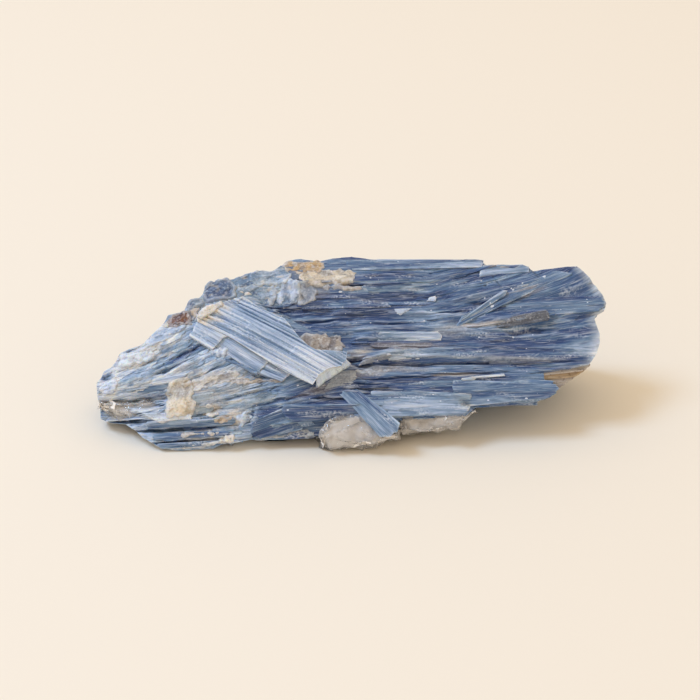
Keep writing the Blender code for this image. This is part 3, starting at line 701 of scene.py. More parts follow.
# Blades that stand out of the front: name, X and rise of the corners start low, end low, end high and
# start high, how far start and end stand out, tone, bulge of start and end, thickness, and a stain or none.
BLADES = [
    ("block_upper", -31.8, 22.9, -27.3, 20, -24.2, 23, -30, 26.6, 1, 1.35, 0.8, 0, 0, 1.6),
    ("block_lower", -27, 20.9, -18.4, 15, -15.6, 18.2, -25.6, 23.9, 0.8, 1.1, 0.82, 0, 0, 1.6),
    ("block_end", -18.2, 15.2, -13.6, 13.6, -11.2, 16.2, -15.6, 18.6, 0.7, 0.9, 0.76, 0, 0.1, 1.4),
    ("pale_bar", -39.1, 13.1, -34.4, 13.7, -32, 15.4, -38.3, 14.3, 0.3, 0.5, 0.92, 0.3, 0.3, 0.8),
    ("low_plate", -42, 11.6, -35.9, 12.3, -35.7, 13.5, -41.3, 13.2, 0.3, 0.4, 0.6, 0.2, 0.1, 0.8),
    ("glass_plate", -31.4, 7.2, -27.3, 7.7, -26.9, 11.6, -32.7, 10.8, 0.7, 0.4, 0.7, 0.2, 0.4, 1, "moss"),
    ("facet", -37, 5.5, -31.2, 6.3, -31.6, 7.7, -40.9, 7.5, 0.8, 0.6, 0.86, 0.1, 0.1, 0.8, "frost"),
    ("corner_blade", -48.8, 6, -39.3, 6.6, -35.6, 8.9, -46, 8, 0.3, 0.6, 0.74, 0.4, 0.2, 1.4),
    ("lower_blade", -39.3, 4.6, -23.2, 5.3, -23, 6.7, -39.9, 5.9, 0.6, 0.6, 0.46, 0.4, 0.3, 1.4),
    ("middle_blade", -38.2, 2.3, -24.4, 3.2, -24, 4.2, -38.8, 3.5, 0.4, 0.5, 0.36, 0.3, 0.3, 1.4),
    ("foot_blade", -36.8, 0.6, -25.2, 1.4, -26, 2.3, -37.8, 1.6, 0.3, 0.3, 0.3, 0.3, 0.2, 1.4),
    ("blue_block", -22.9, 2.5, -19.5, 2.7, -19, 5.8, -21.8, 5.3, 0.3, 0.4, 0.7, 0.1, 0.2, 1.4),
    ("rim_blade", -17.8, 2.6, -9.5, 4.4, -11.5, 9.3, -18.9, 6, 1.2, 0.4, 0.26, 0.8, 0, 1.4),
    ("dark_blade", -11.3, 5.8, -1.1, 6.4, 4.7, 9.2, -13.1, 9.1, 1.1, 0.6, 0.08, 0.6, 0, 1.6),
    ("crossing_blade", -2.2, 11.2, 5.6, 3.1, 9.5, 5.6, 1.2, 12.2, 0.2, 4.3, 0.48, 0.2, 0.7, 2),
    ("long_plate", 4.8, 6.8, 22.4, 7.1, 23.8, 11.4, 4.2, 12, 0.2, 0.3, 0.66, 0.3, 0.3, 1.6),
    ("tip_blade", 21.5, 8.7, 38.6, 10.5, 40.3, 13.2, 20, 14.2, 0.1, 0.4, 0.38, 0.3, 0.7, 1.4),
    ("warm_wedge", -5.2, 11.9, 0.3, 12.9, 1.2, 15.8, -2.5, 15.8, 0.2, 0.1, 0.42, 0.2, 0.2, 0.8, "grey"),
    ("slant_blade", 1.6, 16.9, 8, 18.4, 8.9, 19.8, 2.6, 17.9, 0.4, 0.2, 0.4, 0.2, 0.1, 0.8, "grey"),
    ("grey_splinter", 28.4, 24.3, 39, 26.2, 38.5, 28, 32, 26.5, 0.3, 1.2, -0.25, 0.1, 0.3, 1.4, "grey"),
    ("thin_splinter", 21.5, 24.8, 31, 24.6, 31, 25.4, 22, 25.6, 0.1, 0.3, 0.5, 0.1, 0.1, 0.6, "warm"),
    ("finger", 22.2, 25.8, 30.7, 31.2, 30.2, 32.1, 22, 26.4, 0.2, 0.7, 0.5, 0.2, 0.4, 1),
    ("crest_blade", 0.3, 37.2, 26.3, 37.8, 26.4, 40.3, -1.1, 40, 0.2, 0.3, 0.46, 0.3, 0.1, 1.2),
    ("crest_stub", 25.6, 35.6, 35.7, 37, 34.6, 38.9, 26.5, 38.2, 0.2, 0.3, 0.66, 0.1, 0.3, 1),
    ("pale_ledge", 5.2, 21.7, 17.8, 22, 17.2, 23.7, 5.8, 23.6, 0.05, 0.1, 0.7, 0.2, 0.3, 0.8),
    ("white_splinter", 23.8, 14.3, 30.3, 14.8, 30.1, 15.3, 23.8, 14.7, 0.4, 0.6, 0.9, 0.1, 0, 0.4),
    ("white_knot", 22.2, 13.9, 24.2, 14, 24.1, 14.7, 21.9, 14.4, 0.4, 0.4, 0.95, 0.2, 0.2, 0.6),
    # glint_plate and glint_block are pale frosted plates whose paleness is a painted highlight, standing in
    # for glints
    ("glint_plate", 8.8, 28, 9.8, 27.2, 12.1, 28.6, 8.7, 28.5, 0.3, 0.5, 0.45, 0, 0, 0.8, "frost"),
    ("glint_block", 15.2, 30.2, 16.8, 30, 16.8, 31.1, 15.6, 30.9, 0.3, 0.5, 0.6, 0, 0.1, 0.5, "frost"),
    ("white_wedge", 7.4, 18, 13.5, 18.2, 13, 19.2, 8, 18.6, 0.2, 0.3, 0.86, 0.1, 0.2, 0.5),
    ("fan_low", 24, 26, 49.4, 28.4, 49.8, 31.8, 31, 30.8, -0.1, 0.3, 0.38, 0.2, 0.6, 1.2),
    ("fan_high", 20.8, 24.6, 44.2, 36.2, 40.6, 37, 22.3, 27.2, 0.05, 0.4, 0.4, 0.2, 0.3, 1.2),
    ("bundle_wall", -6.6, 14.5, -6.8, 12.4, 0.1, 17.1, -1.1, 17.9, 2.6, 0.9, 0.85, 0, 0.1, 1.2, "frost"),
]


def corners_in(row):
    """A row's name and four corners, and the values that follow them."""
    name, *values = row
    return name, list(zip(values[0:8:2], values[1:8:2])), values[8:]


def name_number(name):
    """A whole number that belongs to a name, for its own random pattern."""
    return sum(map(ord, name))


def blade_places(name, corners, bulges, cell):
    """The grid of places of a blade whose ends bulge and are a little ragged, and its direction."""
    start_low, end_low, end_high, start_high = (Vector(corner) for corner in corners)
    forward = (end_low + end_high - start_low - start_high).normalized()
    seed, last = name_number(name), 12
    ends = []
    for sign, bulge, low, high in ((-1, bulges[0], start_low, start_high), (1, bulges[1], end_low, end_high)):
        line = []
        for step in range(last + 1):
            share = step / last
            ragged = 0.5 * noise.noise((share * 5, seed, sign)) if 0 < step < last else 0.0
            out = sign * (bulge * math.sin(math.pi * share) * 1.6 + ragged)
            line.append(low.lerp(high, share) + forward * out)
        ends.append(line)
    length = max((start_low - end_low).length, (start_high - end_high).length)
    width = max((start_low - start_high).length, (end_low - end_high).length)
    counts = max(6, int(length / cell / 1.8)), max(5, int(width / cell))
    return patch([start_low, end_low], [start_high, end_high], *ends, *counts), forward


def blade(row, lift_at):
    """One hero blade, flat over the broad lift of the solid under it."""
    name, corners, values = corners_in(row)
    stand_start, stand_end, tone, bulge_start, bulge_end, thick, *stain = values
    seed = float(name_number(name) % 89)
    places, forward = blade_places(name, corners, (bulge_start, bulge_end), BLADE_CELL)
    turn = math.degrees(math.atan2(forward.y, forward.x))
    along, across = turned(*split(places), turn, corners[0])
    along, across = along + seed, across + seed * 3
    edge = edge_distance(places)
    u, v = shares(*places.shape[:2])
    under = lift_at(*np.array(corners).T)
    low, high = under[0] + (under[1] - under[0]) * u, under[3] + (under[2] - under[3]) * u
    lifts = low + (high - low) * v + stand_start + (stand_end - stand_start) * u
    lifts = lifts + 0.8 * fine_relief(along, across, seed) - 0.15 * np.clip(1 - edge / 0.25, 0, 1) ** 2
    # painted highlight: each blade grows paler, in patches, within about 0.3 mm of its edges
    painted_rim_light = np.clip(1.2 - edge / 0.28, 0, 1) * np.clip(0.6 + wander(along / 2, across / 2, seed + 30), 0, 1)
    tone = tone + 0.8 * fine_tone(along, across, seed) + 0.4 * painted_rim_light
    tint = blue(tone)
    for finish in stain:
        tint = stained(tint, finish, tone * 0 + 0.8, tone)
    steps = ((0.1, -0.02), (thick * 0.3, 0.05), (thick * 0.3, -0.04), (thick * 0.6, 0.1))
    return slab(front_point, places, lifts, tint, (along, across), steps)


# --- crumbs and crusts

CRUST_CELL = 0.15  # the size of a crust's faces across it, in millimetres
BESIDE = {"moss": "cream", "cream": "pale", "frost": "pale"}  # the finish that mottles another, else grey
GLASSY = ("frost", "moss")  # finishes that let the blue through

# Crumbly patches: name, corners as above, how far they stand out, finish, size of the lumps and their
# height in millimetres, turn of the lumps in degrees, how much longer than wide they are, and tone.
CRUSTS = [
    ("cream_band", -32, 11, -21.5, 14.2, -22.3, 16.2, -33, 14.2, 0.4, "pale", 1.2, 0.3, 25, 3, 0.28),
    ("beige_band", -24, 12.4, -13, 13.6, -12.5, 14.4, -23, 15, 0.2, "warm", 0.9, 0.25, 25, 3, 0.6),
    ("cream_block", -36.4, 6.2, -30.4, 6.4, -30.7, 14.6, -36.2, 14.2, 0.8, "cream", 2, 0.4, 70, 1.8, 0.42),
    ("cream_low", -28.8, 6.6, -26.4, 6.4, -25.8, 9, -28.6, 9.6, 0.6, "cream", 1.1, 0.3, 0, 1, 0.6),
    ("tan_low", -27.2, 5, -23.2, 5.6, -23, 7.4, -26.6, 6.9, 0.5, "tan", 0.9, 0.3, 0, 1.4, 0.5),
    ("fluted", -22.8, 4.8, -19.8, 5, -19.6, 7.8, -22.4, 8, 0.8, "frost", 0.9, 0.4, 75, 3, 0.85),
    ("crumb_knob", -26.4, 3, -25, 1.3, -22.4, 2, -23, 3.7, 0.8, "cream", 0.9, 0.4, 0, 1, 0.6),
    ("foot_crumbs", -31, 0.7, -24, 1.6, -24.6, 2.6, -31.6, 1.9, 0.4, "pale", 0.9, 0.3, 4, 2.2, 0.3),
    ("mid_crumbs", -33, 2.7, -25, 3.2, -25.2, 4.3, -33, 3.8, 0.7, "warm", 0.8, 0.3, 4, 2.6, 0.5),
    ("under_dark", -19, 2.2, -7, 2.6, -6.6, 4.4, -18.5, 4.2, 0.1, "grey", 1.1, 0.6, 10, 1.6, 0.4),
    ("golden", -10.4, 19.6, -1.2, 19.4, -1.3, 23.7, -10, 23.8, 0.4, "warm", 1.8, 0.3, 85, 4, 0.3),
    ("golden_edge", -9.2, 19.2, -1.6, 18.2, -1.8, 20.2, -9.4, 20.6, 0.4, "cream", 1, 0.3, 85, 1.8, 0.7),
    ("brown_crystals", -36.8, 24.8, -31.2, 25, -31.4, 28.8, -36.2, 28.4, 0.7, "brown", 1, 0.5, 75, 1.8, 0.22),
    ("cream_corner", -37.9, 24.8, -35.6, 25.2, -35.6, 27.2, -37, 26.9, 0.5, "cream", 1.2, 0.4, 0, 1, 0.55),
    ("tan_column", -31.6, 26.4, -30.2, 26.6, -29.6, 29.8, -31.6, 29.4, 0.8, "tan", 1, 0.3, 80, 2.2, 0.5),
    ("cream_end", -31, 25.4, -26.6, 27.6, -24.2, 30, -29.8, 28.9, 1.9, "cream", 1.1, 0.4, -30, 2, 0.72),
    ("knob_low", -33, 28.2, -28.8, 29, -29.4, 32, -32.4, 31.2, 0.7, "moss", 3, 0.6, 20, 1.6, 0.2),
    ("knob_high", -30, 29.6, -22.6, 30.4, -23, 36, -28.8, 35.2, 0.7, "moss", 4.2, 0.8, 30, 1.7, 0.2),
    ("mottle_low", -26.5, 30.2, -15, 29.4, -14.4, 34.4, -25.6, 34, 0.4, "moss", 2.4, 0.5, 40, 1.8, 0.7),
    ("mottle_high", -26.4, 33.2, -12, 33.6, -11.8, 39.4, -24.4, 35.6, 0.3, "moss", 2.2, 0.5, 20, 1.8, 0.66),
    ("cream_spot", -22.8, 31.4, -19.6, 31.2, -19.4, 33, -22.4, 33.4, 0.6, "cream", 0.9, 0.3, 0, 1, 0.7),
    ("pillar_pale", -14.6, 29.6, -9.8, 29.6, -9.5, 35.6, -14.2, 35.2, 0.35, "frost", 1.8, 0.35, 85, 3, 0.7),
    ("pillar_grey", -11, 29.6, -6.8, 29.8, -7.2, 35, -10.8, 35.2, 0.3, "grey", 1.4, 0.3, 85, 3, 0.5),
    ("yellow_crumbs", -13.2, 36.2, -5.4, 36, -5, 40, -14.2, 40.2, 0.25, "tan", 1, 0.3, 0, 1.4, 0.6),
    ("cream_crest", -10, 33.4, 0.6, 33.6, 1, 37.8, -10.4, 37.8, 0.2, "cream", 1.3, 0.25, -12, 2.6, 0.36),
    ("grey_shelf", -5.5, 32.6, 2.6, 32.4, 2, 33.9, -5, 34.4, 0.4, "warm", 1.1, 0.3, -4, 3, 0.5),
    ("right_crumbs", 1, 14.8, 8, 15.4, 8, 16.6, 1, 16.4, 0.2, "grey", 0.9, 0.3, 4, 3, 0.5),
    ("white_knob", -46.2, 16.8, -39.6, 17.9, -37.7, 20.3, -45.4, 20.3, 0.6, "frost", 2.4, 0.8, 20, 1.5, 0.96),
    ("lilac_knob", -41, 20.4, -35.3, 22.7, -31.8, 26, -38.1, 25.3, 0.5, "frost", 2.2, 0.7, 30, 2, 0.86),
    ("end_knob", -49.6, 10.9, -45.8, 11.1, -45.5, 15.9, -49.4, 13.7, 0.5, "frost", 2.4, 0.8, 10, 1.6, 0.8),
    ("block_break", -28.2, 19.2, -24.4, 18, -23.8, 22.8, -26.2, 22.6, 0.8, "frost", 0.9, 0.4, 60, 2, 0.82),
]


def crust(row, face):
    """A crumbly patch that sinks and blends into the face under it along a ragged edge."""
    name, corners, (stand, finish, size, depth, turn, stretch, tone) = corners_in(row)
    point_at, grain_at, lift_at, tint_at = face
    seed, size = float(name_number(name) % 97), size * 0.8
    places = blade_places(name, corners, (0.2, 0.2), CRUST_CELL)[0]
    x, rise = split(places)
    along, across = turned(x, rise, turn)
    along, across = along / stretch, across + 0.3 * wander(along / size, across / size, seed + 4)
    lumps = crumbs(along / size * 1.5, across / size * 1.5, seed)
    grit = crumbs(along / size * 3.5, across / size * 3.5, seed + 1)
    height, facet = facets(along / size, across / size, seed + 8)
    small, pick = facets(along / size * 2.3, across / size * 2.3, seed + 9)
    broad = wander(along / size / 3, across / size / 3, seed + 2)
    edge = rounded_distance(places) + 0.5 * wander(x / 0.9, rise / 0.9, seed + 3)
    edge = edge + 0.7 * wander(x / 2.6, rise / 2.6, seed + 7)
    sink = np.clip(1 - edge / 0.6, 0, 2)
    relief = 0.4 * height + 0.22 * small + 0.12 * lumps + 0.1 * grit + 0.3 * broad
    lifts = lift_at(x, rise) + stand + 0.6 * depth * relief - (stand + 0.9 * depth + 0.15) * sink**1.5
    # painted shade and highlight: the tone follows the relief, deeper in the clefts between lumps and paler
    # on their tops
    tone = tone + 0.06 * (lumps - 0.5) + 0.12 * (grit - 0.5) + 0.15 * broad
    tone = tone + 0.14 * (facet - 0.5) + 0.12 * (pick - 0.5) + 0.08 * height
    tint = blue(tone + 0.1)
    patchy = wander(x / size / 2.2, rise / size / 2.2, seed + 5) + 0.5 * (facet - 0.5)
    strength, change = (0.5, 0.6) if finish in GLASSY else (0.95, 0.3)
    tint = stained(tint, finish, np.clip(strength + change * patchy, 0.1, 1), tone)
    mottled = np.clip(2.5 * wander(x / 1.3, rise / 0.9, seed + 6) - 0.6, 0, 0.8)
    tint = stained(tint, BESIDE.get(finish, "grey"), 0.6 * mottled, tone + 0.1)
    tint[..., 3] = np.minimum(tint[..., 3], 0.3 if finish in (*GLASSY, "grey") else 0.1)
    around = tint_at(x, rise, *grain_at(x, rise))
    tint = around + (tint - around) * np.clip(edge / 0.5, 0, 1)[..., None]
    steps = ((0.08, 0.0), (0.5, 0.05), (1.0 + stand, 0.1))
    return slab(point_at, places, lifts, tint, (along * 3 + seed, across * 3), steps)


# Brown flakes under the right end, their values as the blades' are.
MICA_FLAKES = [
    ("flake_one", 37, 15, 45.6, 16.2, 47.4, 18, 37, 17, 0.7, 0.4, 0.35, 0.1, 0.3, 1.2, "warm"),
    ("flake_two", 37, 14.2, 44, 15, 46.4, 17, 37, 16.2, 0.4, 0.1, 0.35, 0.1, 0.3, 1.2, "tan"),
    ("flake_three", 37.2, 13.5, 42.4, 14, 45, 16, 37.2, 15.2, 0, -0.2, 0.5, 0.1, 0.3, 1.2, "warm"),
    ("flake_four", 37.6, 12.6, 40.9, 12.9, 43.2, 14.8, 37.6, 14.4, -0.4, -0.5, 0.3, 0.2, 0.4, 1.4, "warm"),
]


# --- the crossing bundle

BUNDLE_CORNER = (-30.1, 25.5)  # where its lower edge starts
BUNDLE_START = [(-30.3, 25.7), (-30.5, 27.1), (-29.2, 28.5), (-25.5, 29.5), (-21.3, 30.5)]
BUNDLE_LOW = [(-30.3, 25.7), (-23.9, 22.4), (-19.7, 19.6), (-12.6, 15.1), (-7.4, 12.7)]
BUNDLE_HIGH = [
    (-21.3, 30.5), (-17.5, 27.8), (-13.1, 25.6), (-11.5, 23.6), (-10.1, 21.8), (-8.4, 20.2), (-6.8, 19.3),
    (-2.7, 19.0), (-0.7, 18.8),
]
BUNDLE_END = [(-7.4, 12.7), (-6.2, 14.4), (-4.4, 15.6), (-1.9, 16.1), (-0.9, 17.2), (-0.7, 18.8)]
BUNDLE_CELLS = ((190, 90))

# Bands of the bundle: across the grain from its lower edge, along it, half width, half length and tone.
BUNDLE_BANDS = [
    (8.2, 13, 1.1, 6, -0.24),
    (6.0, 9, 0.6, 3.5, -0.2),
    (3.0, 14, 0.9, 7, -0.08),
    (1.0, 22, 1.6, 7, 0.22),
    (4.5, 24, 2.0, 4, 0.18),
    (7.6, 21, 0.5, 5, -0.16),
    (10.0, 10, 0.6, 7, 0.1),
]

# Shallow steps of the bundle: the corners of each, in millimetres along the face and up it, and its height.
BUNDLE_STEPS = [
    ([(-20.6, 23.9), (-19.8, 24.7), (-17.6, 22.9), (-18.4, 21.9), (-16.8, 20.4), (-22.5, 24.4)], 0.12),
    ([(-21.5, 30.3), (-13.6, 26.0), (-14.5, 24.9), (-22.5, 29.2)], -0.3),
    ([(-30.0, 25.6), (-7.0, 12.0), (-7.0, 13.6), (-23.0, 23.6), (-29.6, 26.4)], -0.22),
    ([(-12.0, 18.5), (-1.0, 12.5), (0.0, 14.5), (-10.6, 20.0)], 0.1),
]


def within(places, corners):
    """1 for the places inside a polygon and 0 for the others."""
    x, y = split(places)
    inside = np.zeros(x.shape, bool)
    for (x0, y0), (x1, y1) in zip(corners, corners[1:] + corners[:1]):
        crosses = (y0 > y) != (y1 > y)
        inside ^= crosses & (x < x0 + (y - y0) / ((y1 - y0) or 1e-9) * (x1 - x0))
    return inside * 1.0


def make_bundle():
    """The bundle of straight, deeply striated blades that lies across the rest."""
    places = patch(BUNDLE_LOW, BUNDLE_HIGH, BUNDLE_START, BUNDLE_END, *BUNDLE_CELLS)
    along, across = turned(*split(places), BUNDLE_TURN, BUNDLE_CORNER)
    long_plates = plates(along / 40, across / 0.9, 3.0) - 0.5
    thin_plates = plates(along / 18, across / 0.35, 9.0) - 0.5
    lifts = 2.7 + 1.9 * np.clip(along / 26, 0, 1) + 0.3 * long_plates + 0.14 * thin_plates
    lifts += 0.08 * wander(along / 40, across / 0.5, 4.0)
    lifts -= 0.35 * np.clip(1 - np.abs(wander(along / 60, across / 1.9, 8.0)) / 0.025, 0, 1)
    tone = 0.83 + 0.14 * long_plates + 0.16 * thin_plates
    tone += 0.2 * wander(along / 30, across / 0.4, 6.0)
    for at_across, at_along, width, length, step in BUNDLE_BANDS:
        far = np.hypot((across - at_across) / width, (along - at_along) / length)
        tone += step * np.clip(1.4 - far, 0, 1)
    for corners, step in BUNDLE_STEPS:
        inside = within(places, corners)
        lifts += step * inside
        # painted highlight: paler along the outline of each shallow step
        tone += 0.35 * np.abs(inside - blurred(inside, (1, 1)))
    # painted highlight: paler within 0.3 mm of the bundle's edge
    tone += 0.2 * np.clip(1 - edge_distance(places) / 0.3, 0, 1)
    crust = np.clip(1.0 - along / 5 + 0.9 * wander(along / 2.5, across / 0.8, 3.0), 0, 1)
    tint = blue(tone) * (1, 1, 1, 0.6)
    tint = stained(tint, "cream", 0.8 * crust, 0.5 + 0.4 * wander(along / 0.8, across / 0.6, 2.0))
    steps = ((0.12, -0.03), (0.45, 0.02), (0.1, 0.25), (0.6, -0.1), (0.15, 0.2), (1.6, 0.1))
    side_tint = 0.5 * STAINS["cream"] + 0.4 * STAINS["frost"]
    part = slab(front_point, places, lifts, tint, (along + 70, across + 40), steps, side_tint)
    return finished("crossing_bundle", [part])


# --- broken quartz

CLEAR_CELL, MILK_CELL = 0.24, 0.5  # the longest edges, in millimetres
CLEAR_CHIPS = ((4.2, 1.3), (1.9, 0.45), (0.8, 0.07))  # sizes and depths of the scoops, in millimetres
MILK_CHIPS = ((3.0, 0.7), (1.0, 0.2))
MILK_SHRINK = 0.9  # how far the milky inside lies under the solid's surface
BREAK_ANGLE = math.radians(24)  # edges sharper than this stay sharp
VEIL_COUNT, VEIL_THICKNESS = 24, 0.03
VEIL_REACH = 0.75  # how far a crack may lie from the middle, as a share of the way to a corner


def broken(node_name, cell, chips, seed, squeeze, shift, shrink=0.0):
    """A solid broken into scooped chips, its edges halved until they are shorter than cell."""
    bm = copied(node_name)
    bmesh.ops.triangulate(bm, faces=bm.faces)
    for _ in range(9):
        wide = [edge for edge in bm.edges if edge.calc_length() > cell * MM]
        if wide:
            bmesh.ops.subdivide_edges(bm, edges=wide, cuts=1)
            bmesh.ops.triangulate(bm, faces=[face for face in bm.faces if len(face.verts) > 3])
    bmesh.ops.smooth_vert(bm, verts=bm.verts, factor=0.5, use_axis_x=True, use_axis_y=True, use_axis_z=True)
    bm.normal_update()
    middle = sum((vert.co for vert in bm.verts), Vector()) / len(bm.verts)
    offset = Vector((seed, seed * 2, seed * 3))
    moves = []
    for vert in bm.verts:
        rise = -shrink
        for size, depth in chips:
            near = noise.voronoi(vert.co / MM / size + offset)[0][0]
            rise += depth * (near**2 * 1.6 - 0.7)
        moves.append(vert.normal * rise * MM)
    for vert, move in zip(bm.verts, moves):
        place = vert.co + move - middle
        place = Vector(tuple(value * factor for value, factor in zip(place, squeeze)))
        vert.co = place + middle + Vector(shift) * MM
        vert.co.z = max(vert.co.z, shrink * MM)
    for edge in bm.edges:
        edge.smooth = edge.calc_face_angle(0) < BREAK_ANGLE
    return bm


def veils(node_name, seed, shift):
    """Thin cracks inside a solid: small crumpled slabs, well within its surface."""
    rng = random.Random(seed)
    corners = [vert.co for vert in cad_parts[node_name].data.vertices]
    middle = sum(corners, Vector()) / len(corners)
    made = []
    for _ in range(VEIL_COUNT):
        bm = new_piece()
        bmesh.ops.create_grid(bm, x_segments=9, y_segments=9, size=0.5)
        spin, tilt = rng.uniform(0, 6.28), rng.uniform(0.6, 1.6)
        turn = Matrix.Rotation(spin, 4, "Z") @ Matrix.Rotation(tilt, 4, "X")
        centre = middle.lerp(rng.choice(corners), rng.uniform(0.2, VEIL_REACH)) + Vector(shift) * MM
        width, height, bend = rng.uniform(1.0, 3), rng.uniform(0.5, 1.5), rng.uniform(-0.8, 0.8)
        mark = rng.uniform(0, 90)
        for vert in bm.verts:
            x, y = vert.co.x * width, vert.co.y * height
            z = bend * x * x / width + 0.5 * noise.noise((x * 0.8, y * 0.8, mark))
            vert.co = turn @ Vector((x, y, z)) * MM + centre
        far_side = bmesh.ops.extrude_face_region(bm, geom=list(bm.faces))["geom"]
        step = (turn.to_3x3() @ Vector((0, 0, 1))) * VEIL_THICKNESS * MM
        for vert in (item for item in far_side if isinstance(item, bmesh.types.BMVert)):
            vert.co += step
        made.append(bm)
    return made


# The quartz solids, with the factors and the shift that fit their broken copies in, and a seed.
QUARTZ = [
    ("quartz_lump", (1, 1, 1.02), (0, 0.6, 0.1), 3.0),
    ("quartz_ledge", (1.12, 1, 0.9), (-0.5, 0.0, 0.6), 8.0),
    ("quartz_seam", (0.96, 0.9, 0.9), (0.6, 1.6, 0), 14.0),
]


# --- splinters

LATH_COLUMNS, LATH_ROWS = 15, 5  # places along and across a lath


def lath(face, x, rise, length, width, thick, tone, skew, seed):
    """A thin blade that lies along the grain of a face and takes the face's own colour."""
    point_at, grain_at, lift_at, tint_at = face
    columns, rows = LATH_COLUMNS, LATH_ROWS
    step, reach = 0.1, length / (columns - 1)
    middle = columns // 2
    line, heading = np.zeros((columns, 2)), np.zeros((columns, 2))
    line[middle] = x, rise
    for i in [*range(middle, columns), *range(middle - 1, -1, -1)]:
        towards = 1 if i >= middle else -1
        if i != middle:
            line[i] = line[i - towards] + heading[i - towards] * reach * towards
        at_x, at_rise = line[i]
        slope = grain_at(at_x + step, at_rise)[1] - grain_at(at_x - step, at_rise)[1]
        spread = grain_at(at_x, at_rise + step)[1] - grain_at(at_x, at_rise - step)[1]
        heading[i] = np.array([spread, -slope]) / math.hypot(spread, slope)
    side = np.stack([-heading[:, 1], heading[:, 0]], -1)[:, None]
    share = np.linspace(-1, 1, columns)[:, None]
    over = np.linspace(-0.5, 0.5, rows)[None]
    ragged = 0.5 * width * wander(over * 3 + share * 0, seed + share, seed)
    ahead = (over * skew * width * np.where(share > 0, 1, -0.6) + ragged) * share**4
    places = line[:, None] + side * (over * width * (1 - 0.35 * np.abs(share) ** 3))[..., None]
    places = places + heading[:, None] * ahead[..., None]
    along, across = grain_at(*split(places))
    tint = tint_at(*split(places), along, across) * (1 + tone)
    lifts = 0.5 * lift_at(x, rise) + 0.5 * lift_at(*split(places)) + thick
    along, across = along + seed * 5, across + seed * 7
    lifts = lifts + 0.5 * fine_relief(along, across, seed)
    steps = ((0.05, -0.02), (thick, 0.04), (thick + 0.5, 0.1))
    return slab(point_at, places, lifts, tint, (along, across), steps)


def laths(face, keep, count, span, rise_span, seed, lengths, thicks, tones):
    """Thin blades scattered over a face, along its grain, where keep says that they fit."""
    rng = random.Random(seed)
    made = []
    while len(made) < count:
        x, rise = rng.uniform(*span), rng.uniform(*rise_span)
        length, width = rng.uniform(*lengths), rng.uniform(0.3, 1.3)
        thick, skew, mark = rng.uniform(*thicks), rng.uniform(-1.5, 1.5), rng.uniform(0, 90)
        tone = rng.uniform(*tones)
        if keep(x, rise, length / 2):
            made.append(lath(face, x, rise, length, width, thick, tone, skew, mark))
    return made


def front_keep(x, rise, half):
    """Whether a splinter of this half length stays inside the front face and off the bundle."""
    for end in (x - half, x + half):
        top = np.interp(end, *zip(*FRONT_TOP))
        low = np.interp(end, *zip(*FRONT_BOTTOM))
        climb = 0.4 * (end - x) if x < -5 else 0
        least, most = low + 0.6 - min(0, climb), top - 0.5 + min(0, climb)
        if not least < rise + climb < most or not rise < top - 0.5 or not -47.5 < end < 45:
            return False
        if in_bundle(end, rise + climb):
            return False
    on_seam = x < SEAM_END and 5.5 < rise < 12
    return not on_seam and not in_bundle(x, rise)


# Splinters of the front: how many, their ranges along and up it, a seed, and the ranges of their length,
# thickness and change of tone.
SPLINTERS = [
    (80, (-20, 44), (1, 39), 7, (3, 18), (0.01, 0.08), (-0.1, 0.25)),
    (190, (-49, -14), (1, 34), 8, (1.5, 6), (0.03, 0.16), (-0.08, 0.4)),
]


# --- materials


class Finish:
    """A material, with short ways to add nodes to it."""

    def __init__(self, name):
        self.material = bpy.data.materials.new(name)
        self.material.use_nodes = True
        self.tree = self.material.node_tree

    def fill(self, node, inputs):
        """Links or sets the inputs of a node."""
        for key, value in inputs.items():
            if isinstance(value, bpy.types.NodeSocket):
                self.tree.links.new(value, node.inputs[key])
            else:
                node.inputs[key].default_value = value
        return node

    def surface(self, inputs):
        """Gives the surface its values and links."""
        self.fill(self.tree.nodes["Principled BSDF"], inputs)
        return self.material

    def node(self, kind, inputs=None, **settings):
        """One shader node, with its settings, its set values and its links."""
        made = self.tree.nodes.new("ShaderNode" + kind)
        for key, value in settings.items():
            setattr(made, key, value)
        return self.fill(made, inputs or {})

    def noise(self, vector, scale, detail):
        made = self.node("TexNoise", {"Vector": vector, "Scale": scale, "Detail": detail})
        return made.outputs["Fac"]

    def grit(self, scale, detail):
        """Noise in the piece's own place, in cells to the metre."""
        return self.noise(self.node("TexCoord").outputs["Object"], scale, detail)

    def stretched(self, vector, scale, shift):
        return self.node("Mapping", {"Vector": vector, "Scale": scale, "Location": shift}).outputs[0]

    def streaks(self, grain, length, width, detail, seed):
        """Noise stretched along the grain: one streak is about length by width, in millimetres."""
        vector = self.stretched(grain, (1 / length, 1 / width, 0), (seed, seed, seed))
        return self.noise(vector, 1.0, detail)

    def remap(self, value, low, high, to_low=0.0, to_high=1.0):
        """A value's range from low to high, carried to another and held at its ends."""
        ends = {"From Min": low, "From Max": high, "To Min": to_low, "To Max": to_high}
        return self.node("MapRange", {"Value": value, **ends}).outputs["Result"]

    def maths(self, operation, first, second=0.0):
        return self.node("Math", {0: first, 1: second}, operation=operation).outputs[0]

    def mix(self, share, first, second, blend="MIX"):
        """The first colour with a share of the second over it."""
        colours = [c if isinstance(c, bpy.types.NodeSocket) else (*c, 1) for c in (first, second)]
        inputs = {0: share, 6: colours[0], 7: colours[1]}
        return self.node("Mix", inputs, data_type="RGBA", blend_type=blend).outputs[2]

    def layer(self, base, value, low, high, share_low, share_high, over, blend="MIX"):
        """A base with another colour over it, whose share follows a value from low to high."""
        return self.mix(self.remap(value, low, high, share_low, share_high), base, over, blend)

    def bump(self, height, distance, strength):
        inputs = {"Height": height, "Distance": distance, "Strength": strength}
        return self.node("Bump", inputs).outputs[0]


